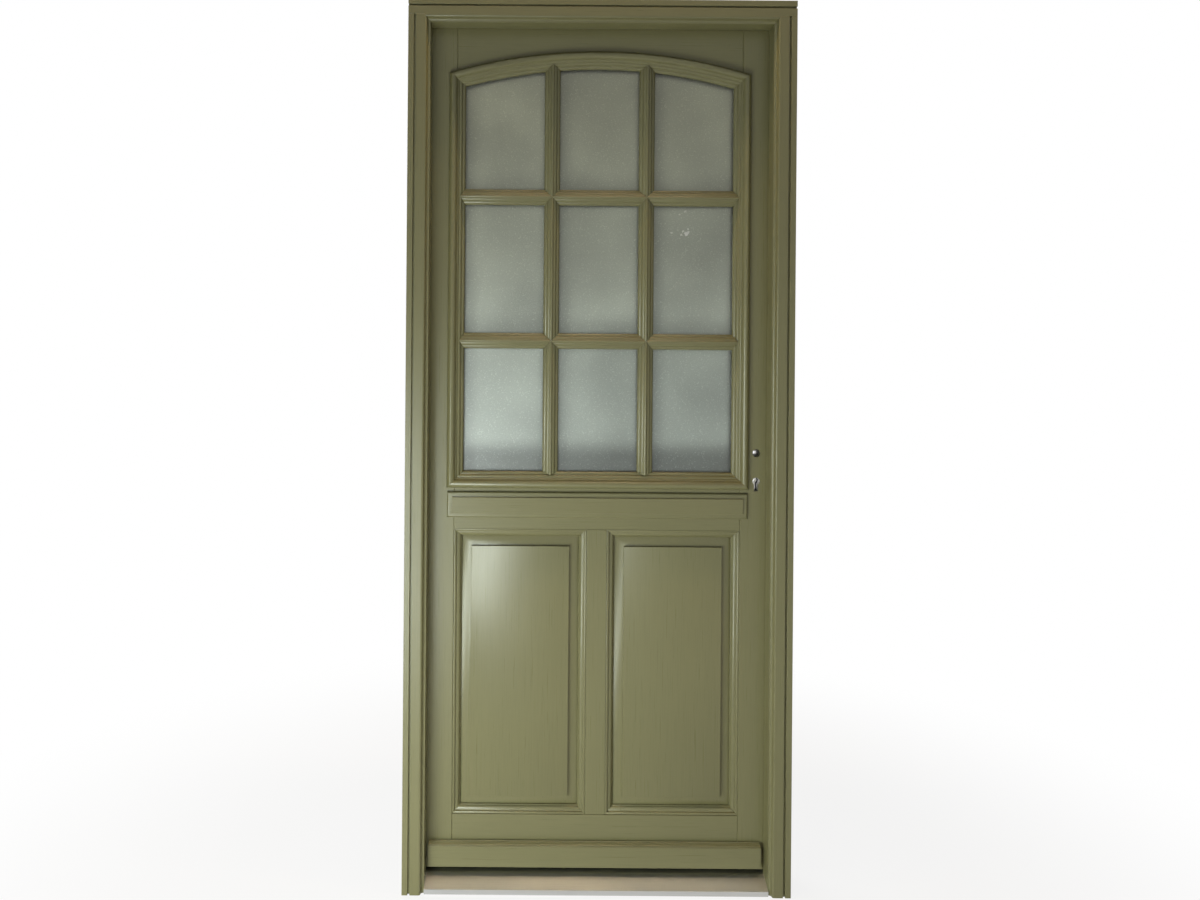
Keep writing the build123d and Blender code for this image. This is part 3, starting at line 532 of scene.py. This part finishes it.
def add_painted_pane_shade(tree, across, up):
    """Painted shade: darkens each pane towards its left edge and its foot, most of all in the lowest
    row.
    """
    first_bar = middle_of("left_upright_bar").x
    pitch = middle_of("right_upright_bar").x - first_bar
    turns = add_math(tree, "DIVIDE", add_math(tree, "SUBTRACT", across, first_bar), pitch)
    # how far across its pane a point lies, from 0 at one bar's middle to 1 at the next one's
    along = add_math(tree, "FRACT", turns, 0)
    left_edge = add_range(tree, along, 0.08, 0.27, 0.8, 1.0)
    right_edge = add_range(tree, along, 0.84, 0.92, 1.0, 0.93)
    shade = add_math(tree, "MULTIPLY", left_edge, right_edge)
    # each row's foot, where its shade starts and stops above that, and how dark it is
    feet = (
        (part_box("outer_pane")[0].z, 50 * MM, 105 * MM, 0.62),
        (middle_of("lower_cross_bar").z, 25 * MM, 75 * MM, 0.84),
        (middle_of("upper_cross_bar").z, 25 * MM, 70 * MM, 0.88),
    )
    for foot, start, stop, dark in feet:
        band = add_range(tree, add_math(tree, "SUBTRACT", up, foot), start, stop, dark, 1.0)
        band = add_math(tree, "MAXIMUM", band, add_math(tree, "LESS_THAN", up, foot))
        shade = add_math(tree, "MULTIPLY", shade, band)
    return shade


def make_glass():
    """Pressed obscure glass: rough, faintly green, with a fine grain; its colour carries painted
    shade, painted glints and a painted fall of light.
    """
    glass = bpy.context.scene.door_glass
    _, tree, shader = new_material("pressed_glass")
    shader.inputs["Transmission Weight"].default_value = 0.9
    shader.inputs["IOR"].default_value = 1.5
    place = add_object_coordinates(tree)
    grain = add_noise(tree, place, scale=1.0 / glass.grain, detail=2.0, roughness=0.65)
    clouds = add_noise(tree, place, scale=6.0, detail=2.0, roughness=0.5)
    glints = add_noise(tree, place, scale=0.8 / glass.grain, detail=0.0, roughness=0.55)
    split = add_split(tree, place)

    # painted shade along the panes' edges and feet
    shade = add_painted_pane_shade(tree, split["X"], split["Z"])
    tone = add_math(tree, "MULTIPLY_ADD", grain, 0.6, 0.5)
    tone = add_math(tree, "MULTIPLY_ADD", clouds, 0.5, tone)
    # painted glints: small bright specks added to the colour after the painted shade
    painted_sparkle = add_range(tree, glints, 0.68, 0.76, 0.0, 0.45)
    tone = add_math(tree, "MULTIPLY_ADD", tone, shade, painted_sparkle)
    # painted light and shade: the glass's faint green runs lighter at the foot and darker at the
    # crown
    low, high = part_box("outer_pane")
    rise = add_range(tree, split["Z"], low.z, high.z, 0.0, 1.0)
    tint = add_ramp(tree, rise, glass.lit_foot_colour, glass.shaded_crown_colour)
    tree.links.new(add_shade(tree, tint, tone), shader.inputs["Base Color"])
    rough = add_math(tree, "MULTIPLY_ADD", clouds, 0.16, 0.24)
    tree.links.new(rough, shader.inputs["Roughness"])
    add_bump(tree, grain, shader, strength=0.7, distance=0.8 * MM)


def make_rubber():
    """Matt black seal with a faint dusty bloom."""
    _, tree, shader = new_material("seal_rubber")
    dust = add_noise(tree, add_object_coordinates(tree), scale=60.0, detail=4.0, roughness=0.6)
    colour = add_ramp(tree, dust, (0.012, 0.012, 0.012), (0.04, 0.04, 0.038))
    tree.links.new(colour, shader.inputs["Base Color"])
    rough = add_math(tree, "MULTIPLY_ADD", dust, 0.3, 0.6)
    tree.links.new(rough, shader.inputs["Roughness"])


def make_residue():
    """Chalky residue on the glass."""
    _, tree, shader = new_material("glass_residue")
    shader.inputs["Roughness"].default_value = 0.9
    speck = add_noise(tree, add_object_coordinates(tree), scale=900.0, detail=2.0, roughness=0.6)
    colour = add_ramp(tree, speck, (0.8, 0.8, 0.74), (0.97, 0.97, 0.93))
    tree.links.new(colour, shader.inputs["Base Color"])


def make_finishes():
    """Every finish of the door."""
    hardware = bpy.context.scene.door_hardware
    brush = make_brush_group()
    metal = make_scratch_group()
    make_paint("paint_upright", UPRIGHT_STREAKS, brush)
    make_paint("paint_level", LEVEL_STREAKS, brush)
    make_metal("bright_steel", hardware.steel, STEEL_LINES, roughness=0.28, group=metal)
    # the oiled steel's dark colour is partly painted shade for the spindle hole
    make_metal("oiled_steel_and_shade", hardware.lock_steel_with_shade, LOCK_LINES, roughness=0.3, group=metal)
    make_metal("milled_sill", hardware.sill, SILL_LINES, roughness=0.38, group=metal)
    make_glass()
    make_rubber()
    make_residue()


def finish_named(name):
    """A finish by its name; the first call makes them all."""
    if "paint_upright" not in bpy.data.materials:
        make_finishes()
    return bpy.data.materials[name]


# Pieces


def set_only_material(obj, material):
    """Gives a piece one finish."""
    obj.data.materials.clear()
    obj.data.materials.append(material)


def finish_nodes(nodes, material_name):
    """Keeps the nodes' own shapes and gives them a finish."""
    for node in nodes:
        set_only_material(NODES[node], finish_named(material_name))


def nodes_with(*words):
    """Nodes whose names hold one of the words."""
    return sorted(node for node in NODES if any(word in node for word in words))


def new_piece(name, mesh, body, material):
    """Links a finished mesh as a piece that rides on a body."""
    piece = bpy.data.objects.new(name, mesh)
    bpy.context.scene.collection.objects.link(piece)
    set_only_material(piece, material)
    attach(piece, body)
    return piece


def dress_wood(node):
    """A painted copy of a wooden node, with rounded arrises, in place of the plain one."""
    low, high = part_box(node)
    size = high - low
    finish = finish_named("paint_level" if size.x > size.z else "paint_upright")
    mesh = NODES[node].data.copy()
    mesh.name = f"painted_{node}"
    work = bmesh.new()
    work.from_mesh(mesh)
    bmesh.ops.remove_doubles(work, verts=work.verts, dist=MERGE_REACH)
    bmesh.ops.dissolve_limit(
        work,
        angle_limit=FLAT_ANGLE,
        verts=work.verts,
        edges=work.edges,
        use_dissolve_boundaries=False,
    )
    for face in work.faces:
        face.smooth = True
    work.to_mesh(mesh)
    work.free()
    mesh.set_sharp_from_angle(angle=ARRIS_ANGLE)
    piece = new_piece(f"painted_{node}", mesh, BODY_OF[node], finish)
    bevel = piece.modifiers.new("arris", "BEVEL")
    bevel.width = bpy.context.scene.door_paint.arris
    bevel.segments = ARRIS_SEGMENTS
    bevel.limit_method = "ANGLE"
    bevel.angle_limit = ARRIS_ANGLE
    bevel.harden_normals = True
    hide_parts(node)


def dress_body(body):
    """Paints all the wood of one body."""
    for node in sorted(NODES):
        if SLOT_OF[node] == "paint" and BODY_OF[node] == body:
            dress_wood(node)


# Screws, by Geometry Nodes


def add_screw_head(tree, radius, rise):
    """A low dome with a cross cut into it; returns its mesh."""
    link = tree.links.new
    disc = tree.nodes.new("GeometryNodeMeshCylinder")
    disc.inputs["Vertices"].default_value = SCREW_SIDES
    disc.inputs["Fill Segments"].default_value = SCREW_RINGS
    link(radius, disc.inputs["Radius"])
    link(rise, disc.inputs["Depth"])

    split = add_split(tree, tree.nodes.new("GeometryNodeInputPosition").outputs[0])
    out = add_vector_math(tree, "LENGTH", add_vector(tree, split["X"], split["Y"]))
    share = add_math(tree, "DIVIDE", out.outputs["Value"], radius)
    fall = add_math(tree, "MULTIPLY", add_math(tree, "MULTIPLY", share, share), rise)
    on_top = add_math(tree, "GREATER_THAN", split["Z"], 0.0)
    drop = add_math(tree, "MULTIPLY", add_math(tree, "MULTIPLY", fall, on_top), -DOME_FALL)
    dome = tree.nodes.new("GeometryNodeSetPosition")
    link(disc.outputs["Mesh"], dome.inputs["Geometry"])
    link(add_vector(tree, z=drop), dome.inputs["Offset"])

    head = tree.nodes.new("GeometryNodeMeshBoolean")
    head.operation = "DIFFERENCE"
    head.solver = "EXACT"
    link(dome.outputs["Geometry"], head.inputs["Mesh 1"])
    long_side = add_math(tree, "MULTIPLY", radius, RECESS_LENGTH)
    short_side = add_math(tree, "MULTIPLY", radius, RECESS_WIDTH)
    lift = add_math(tree, "MULTIPLY", rise, RECESS_LIFT)
    for across, along in ((long_side, short_side), (short_side, long_side)):
        arm = tree.nodes.new("GeometryNodeMeshCube")
        link(add_vector(tree, across, along, rise), arm.inputs["Size"])
        raised = tree.nodes.new("GeometryNodeTransform")
        link(arm.outputs["Mesh"], raised.inputs["Geometry"])
        link(add_vector(tree, z=lift), raised.inputs["Translation"])
        link(raised.outputs["Geometry"], head.inputs["Mesh 2"])
    return head.outputs["Mesh"]


def add_screw_turn(tree, seed):
    """Aims each head the way its point faces and gives it a seeded twist."""
    link = tree.links.new
    facing = tree.nodes.new("GeometryNodeInputNamedAttribute")
    facing.data_type = "FLOAT_VECTOR"
    facing.inputs["Name"].default_value = "facing"
    aim = tree.nodes.new("FunctionNodeAlignRotationToVector")
    aim.axis = "Z"
    link(facing.outputs["Attribute"], aim.inputs["Vector"])
    angle = tree.nodes.new("FunctionNodeRandomValue")
    angle.data_type = "FLOAT"
    # socket 3 is the largest number, and output 1 the number itself
    angle.inputs[3].default_value = math.pi / 2
    link(seed, angle.inputs["Seed"])
    spin = tree.nodes.new("FunctionNodeAxisAngleToRotation")
    spin.inputs["Axis"].default_value = (0, 0, 1)
    link(angle.outputs[1], spin.inputs["Angle"])
    turn = tree.nodes.new("FunctionNodeRotateRotation")
    turn.rotation_space = "LOCAL"
    link(aim.outputs["Rotation"], turn.inputs["Rotation"])
    link(spin.outputs["Rotation"], turn.inputs["Rotate By"])
    return turn.outputs["Rotation"]


def make_screw_tree():
    """Raised countersunk heads with a cross recess, one on each point."""
    tree = bpy.data.node_groups.new("raised_screws", "GeometryNodeTree")
    sockets = (
        ("Points", "INPUT", "NodeSocketGeometry"),
        ("Head Radius", "INPUT", "NodeSocketFloat"),
        ("Rise", "INPUT", "NodeSocketFloat"),
        ("Seed", "INPUT", "NodeSocketInt"),
        ("Finish", "INPUT", "NodeSocketMaterial"),
        ("Screws", "OUTPUT", "NodeSocketGeometry"),
    )
    for name, direction, kind in sockets:
        tree.interface.new_socket(name=name, in_out=direction, socket_type=kind)
    given = tree.nodes.new("NodeGroupInput").outputs
    end = tree.nodes.new("NodeGroupOutput")
    link = tree.links.new
    spread = tree.nodes.new("GeometryNodeInstanceOnPoints")
    link(given["Points"], spread.inputs["Points"])
    head = add_screw_head(tree, given["Head Radius"], given["Rise"])
    link(head, spread.inputs["Instance"])
    link(add_screw_turn(tree, given["Seed"]), spread.inputs["Rotation"])
    real = tree.nodes.new("GeometryNodeRealizeInstances")
    link(spread.outputs["Instances"], real.inputs["Geometry"])
    finish = tree.nodes.new("GeometryNodeSetMaterial")
    link(real.outputs["Geometry"], finish.inputs["Geometry"])
    link(given["Finish"], finish.inputs["Material"])
    link(finish.outputs["Geometry"], end.inputs["Screws"])
    return tree


def screw_places(body):
    """Middles of the screw heads on one body and the way each faces."""
    half_rise = bpy.context.scene.door_hardware.screw_rise / 2
    stile_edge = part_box("hinge_stile")[0].x
    if body == "frame":
        half_name, plate_name, side = "hinge_frame_half", "strike_plate", 1
        hinge_x = stile_edge - HINGE_GAP
    else:
        half_name, plate_name, side = "hinge_leaf_half", "forend", -1
        hinge_x = stile_edge
    places = []
    for hinge in HINGE_NAMES:
        low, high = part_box(f"{hinge}_{half_name}")
        middle = (low.z + high.z) / 2
        for share in HINGE_SCREW_SHARES:
            z = middle + share * (high.z - low.z)
            place = (hinge_x + side * half_rise, low.y + HINGE_SCREW_INSET, z)
            places.append((place, (side, 0, 0)))
    low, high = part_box(plate_name)
    face_x = low.x if body == "frame" else high.x
    for z in (low.z + PLATE_SCREW_INSET, high.z - PLATE_SCREW_INSET):
        place = (face_x - side * half_rise, (low.y + high.y) / 2, z)
        places.append((place, (-side, 0, 0)))
    return places


def drive_screws(body, tree):
    """All the screws of one body, as one plain mesh."""
    hardware = bpy.context.scene.door_hardware
    places = screw_places(body)
    seeds = bpy.data.meshes.new(f"{body}_screw_places")
    seeds.from_pydata([place for place, _ in places], [], [])
    facing = seeds.attributes.new("facing", "FLOAT_VECTOR", "POINT")
    for item, (_, way) in zip(facing.data, places):
        item.vector = way
    maker = bpy.data.objects.new(f"{body}_screw_places", seeds)
    bpy.context.scene.collection.objects.link(maker)
    steel = finish_named("bright_steel")
    modifier = maker.modifiers.new("screws", "NODES")
    modifier.node_group = tree
    values = {
        "Head Radius": hardware.screw_head,
        "Rise": hardware.screw_rise,
        "Seed": hardware.screw_seed,
        "Finish": steel,
    }
    for item in tree.interface.items_tree:
        if item.in_out == "INPUT" and item.name in values:
            modifier[item.identifier] = values[item.name]
    graph = bpy.context.evaluated_depsgraph_get()
    mesh = bpy.data.meshes.new_from_object(maker.evaluated_get(graph))
    mesh.name = f"{body}_screws"
    bpy.data.objects.remove(maker)
    if len(mesh.polygons) < len(places) * LEAST_SCREW_FACES:
        raise RuntimeError(f"{body}: the screws were not made")
    new_piece(f"{body}_screws", mesh, body, steel)


# Residue on the glass


def fleck_rim(x, z, radius, shape):
    """The ragged outline of one fleck, across and up; its number sets its shape."""
    chance = random.Random(shape)
    rim = []
    for step in range(FLECK_CORNERS):
        angle = 2 * math.pi * step / FLECK_CORNERS
        reach = radius * chance.uniform(*FLECK_REACH)
        rim.append((x + reach * math.cos(angle), z + reach * math.sin(angle)))
    return rim


def add_fleck(work, x, z, rim, face_y):
    """A thin closed crust on the pane: its rim on the glass, its middle a little proud."""
    top_y = face_y - FLECK_RISE
    ring = [work.verts.new((px, face_y, pz)) for px, pz in rim]
    inner = [
        work.verts.new((x + FLECK_TOP * (px - x), top_y, z + FLECK_TOP * (pz - z)))
        for px, pz in rim
    ]
    for step in range(FLECK_CORNERS):
        after = (step + 1) % FLECK_CORNERS
        work.faces.new((ring[step], ring[after], inner[after], inner[step]))
    work.faces.new(inner)
    work.faces.new(ring[::-1])


# Stage


def background_share(tree):
    """1 where the camera, a reflection or a look through glass meets the background."""
    path = tree.nodes.new("ShaderNodeLightPath").outputs
    share = add_math(tree, "MAXIMUM", path["Is Camera Ray"], path["Is Transmission Ray"])
    return add_math(tree, "MAXIMUM", share, path["Is Glossy Ray"])


def blend_shaders(tree, share, first, second, output):
    """Shows the second shader by its share, and the first for the rest."""
    blend = tree.nodes.new("ShaderNodeMixShader")
    tree.links.new(share, blend.inputs["Fac"])
    tree.links.new(first.outputs[0], blend.inputs[1])
    tree.links.new(second.outputs[0], blend.inputs[2])
    tree.links.new(blend.outputs[0], tree.nodes[output].inputs["Surface"])


def set_floor():
    """A plain pale floor that keeps the door's shadow near it and fades to white further off."""
    reach = FLOOR_REACH
    corners = [(-reach, -reach, 0), (reach, -reach, 0), (reach, reach, 0), (-reach, reach, 0)]
    mesh = bpy.data.meshes.new("floor")
    mesh.from_pydata(corners, [], [(0, 1, 2, 3)])
    floor = bpy.data.objects.new("floor", mesh)
    bpy.context.scene.collection.objects.link(floor)
    material, tree, shader = new_material("pale_floor")
    shader.inputs["Base Color"].default_value = (0.82, 0.82, 0.8, 1)
    shader.inputs["Roughness"].default_value = 0.8
    glow = tree.nodes.new("ShaderNodeEmission")
    glow.inputs["Strength"].default_value = 1.0
    away = add_vector_math(tree, "LENGTH", add_object_coordinates(tree)).outputs["Value"]
    fade = add_range(tree, away, *FLOOR_FADE, *FLOOR_WHITE)
    share = add_math(tree, "MULTIPLY", background_share(tree), fade)
    blend_shaders(tree, share, shader, glow, "Material Output")
    mesh.materials.append(material)


def set_world():
    """White to the camera, softer as light and weaker overhead."""
    world = bpy.data.worlds.new("studio")
    bpy.context.scene.world = world
    world.use_nodes = True
    tree = world.node_tree
    light = tree.nodes["Background"]
    light.inputs["Color"].default_value = (1.0, 0.94, 0.82, 1)
    way = tree.nodes.new("ShaderNodeTexCoord").outputs["Generated"]
    up = add_split(tree, way)["Z"]
    strength = add_range(tree, up, *SKY_SPAN, *SKY_STRENGTH, kind="LINEAR")
    tree.links.new(strength, light.inputs["Strength"])
    white = tree.nodes.new("ShaderNodeBackground")
    white.inputs["Color"].default_value = (1, 1, 1, 1)
    white.inputs["Strength"].default_value = 1.0
    blend_shaders(tree, background_share(tree), light, white, "World Output")


def set_lights():
    """Two low lamps on the left, a fill on the right, two in the room, a warm one close above."""
    for name, place, target, size, power, colour in LAMPS:
        data = bpy.data.lights.new(name, "AREA")
        data.shape = "RECTANGLE"
        data.size, data.size_y = size
        data.energy = power
        data.color = colour
        lamp = bpy.data.objects.new(name, data)
        lamp.visible_camera = False
        lamp.visible_glossy = name != LAMP_WITHOUT_GLOSS
        lamp.visible_diffuse = name != LAMP_WITHOUT_PLAIN_LIGHT
        lamp.location = place
        aim = (Vector(target) - Vector(place)).to_track_quat("-Z", "Y")
        lamp.rotation_euler = aim.to_euler()
        bpy.context.scene.collection.objects.link(lamp)


def set_camera():
    """The photograph's viewpoint: level, a little left of the door's middle."""
    stage = bpy.context.scene.door_stage
    x, y, z = stage.camera_place
    low, high = CAD_BOX
    away = low[1] - y
    data = bpy.data.cameras.new("camera")
    data.sensor_width = SENSOR_W
    data.lens = stage.focal_px / IMAGE_W * SENSOR_W
    middle_px = IMAGE_W / 2 - stage.focal_px * x / away
    data.shift_x = (middle_px - DOOR_PX) / IMAGE_W
    head_px = IMAGE_H / 2 - stage.focal_px * (high[2] - z) / away
    data.shift_y = (TOP_PX - head_px) / IMAGE_W
    data.clip_start = 0.01
    camera = bpy.data.objects.new("camera", data)
    camera.location = (x, y, z)
    camera.rotation_euler = (math.pi / 2, stage.camera_roll, 0)
    bpy.context.scene.collection.objects.link(camera)
    bpy.context.scene.camera = camera


# Operators, one for each group of pieces


class DOOR_OT_paint_frame(bpy.types.Operator):
    """Paints the jambs, the head and their facings"""

    bl_idname = "door.paint_frame"
    bl_label = "Paint the frame"

    def execute(self, context):
        dress_body("frame")
        return {"FINISHED"}


class DOOR_OT_paint_leaf(bpy.types.Operator):
    """Paints the leaf's joinery, panels, mouldings and bars"""

    bl_idname = "door.paint_leaf"
    bl_label = "Paint the leaf"

    def execute(self, context):
        dress_body("leaf")
        return {"FINISHED"}


class DOOR_OT_glaze(bpy.types.Operator):
    """Finishes the glass and the spacer of the glazed unit"""

    bl_idname = "door.glaze"
    bl_label = "Glaze the leaf"

    def execute(self, context):
        finish_nodes(("inner_pane", "outer_pane"), "pressed_glass")
        finish_nodes(("spacer",), "milled_sill")
        return {"FINISHED"}


class DOOR_OT_mark_glass(bpy.types.Operator):
    """Leaves the few chalky flecks on the right middle pane"""

    bl_idname = "door.mark_glass"
    bl_label = "Mark the glass"

    def execute(self, context):
        face_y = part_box("outer_pane")[0].y
        work = bmesh.new()
        for shape, (x, z, radius) in enumerate(FLECKS):
            add_fleck(work, x, z, fleck_rim(x, z, radius, shape), face_y)
        bmesh.ops.recalc_face_normals(work, faces=work.faces)
        mesh = bpy.data.meshes.new("glass_flecks")
        work.to_mesh(mesh)
        work.free()
        new_piece("glass_flecks", mesh, "leaf", finish_named("glass_residue"))
        return {"FINISHED"}


class DOOR_OT_hang(bpy.types.Operator):
    """Finishes the hinges and their pins"""

    bl_idname = "door.hang"
    bl_label = "Hang the leaf"

    def execute(self, context):
        hinges = nodes_with("_hinge_frame_half", "_hinge_leaf_half", "_hinge_pin")
        finish_nodes(hinges, "bright_steel")
        return {"FINISHED"}


class DOOR_OT_drive_screws(bpy.types.Operator):
    """Drives the screws of the hinges, the strike plate and the forend"""

    bl_idname = "door.drive_screws"
    bl_label = "Drive the screws"

    def execute(self, context):
        tree = make_screw_tree()
        for body in ("frame", "leaf"):
            drive_screws(body, tree)
        return {"FINISHED"}


class DOOR_OT_fit_lock(bpy.types.Operator):
    """Finishes the lock, its bolts and the strike plate"""

    bl_idname = "door.fit_lock"
    bl_label = "Fit the lock"

    def execute(self, context):
        finish_nodes(("forend", "latch_bolt", "dead_bolt", "strike_plate"), "bright_steel")
        finish_nodes(("lock_case", "lock_cover", "follower"), "oiled_steel_and_shade")
        return {"FINISHED"}


class DOOR_OT_lay_sill(bpy.types.Operator):
    """Finishes the sill and the seals"""

    bl_idname = "door.lay_sill"
    bl_label = "Lay the sill"

    def execute(self, context):
        finish_nodes(("sill",), "milled_sill")
        finish_nodes(nodes_with("_seal"), "seal_rubber")
        return {"FINISHED"}


class DOOR_OT_set_stage(bpy.types.Operator):
    """Sets the floor, the lights and the camera"""

    bl_idname = "door.set_stage"
    bl_label = "Set the stage"

    def execute(self, context):
        set_floor()
        set_world()
        set_lights()
        set_camera()
        return {"FINISHED"}


class DOOR_PT_pieces(bpy.types.Panel):
    """Lists the door's pieces and settings in the sidebar"""

    bl_label = "Front Door"
    bl_idname = "DOOR_PT_pieces"
    bl_space_type = "VIEW_3D"
    bl_region_type = "UI"
    bl_category = "Front Door"

    def draw(self, context):
        for operator in OPERATORS:
            self.layout.operator(operator.bl_idname)
        for name, group in SETTINGS.items():
            for key in group.__annotations__:
                self.layout.prop(getattr(context.scene, name), key)


# in the order in which main calls them
OPERATORS = (
    DOOR_OT_paint_frame,
    DOOR_OT_paint_leaf,
    DOOR_OT_glaze,
    DOOR_OT_mark_glass,
    DOOR_OT_hang,
    DOOR_OT_drive_screws,
    DOOR_OT_fit_lock,
    DOOR_OT_lay_sill,
    DOOR_OT_set_stage,
)
CLASSES = (*SETTINGS.values(), *OPERATORS, DOOR_PT_pieces)


def register():
    """Registers the settings, the operators and the panel."""
    for cls in CLASSES:
        bpy.utils.register_class(cls)
    for name, group in SETTINGS.items():
        setattr(bpy.types.Scene, name, PointerProperty(type=group))


def unregister():
    """Takes them away again."""
    for name in SETTINGS:
        delattr(bpy.types.Scene, name)
    for cls in reversed(CLASSES):
        bpy.utils.unregister_class(cls)


def main():
    """Registers the add-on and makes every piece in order."""
    register()
    bpy.context.scene.view_settings.view_transform = "Standard"
    bpy.ops.door.paint_frame()
    bpy.ops.door.paint_leaf()
    bpy.ops.door.glaze()
    bpy.ops.door.mark_glass()
    bpy.ops.door.hang()
    bpy.ops.door.drive_screws()
    bpy.ops.door.fit_lock()
    bpy.ops.door.lay_sill()
    bpy.ops.door.set_stage()


if __name__ == "__main__":
    main()
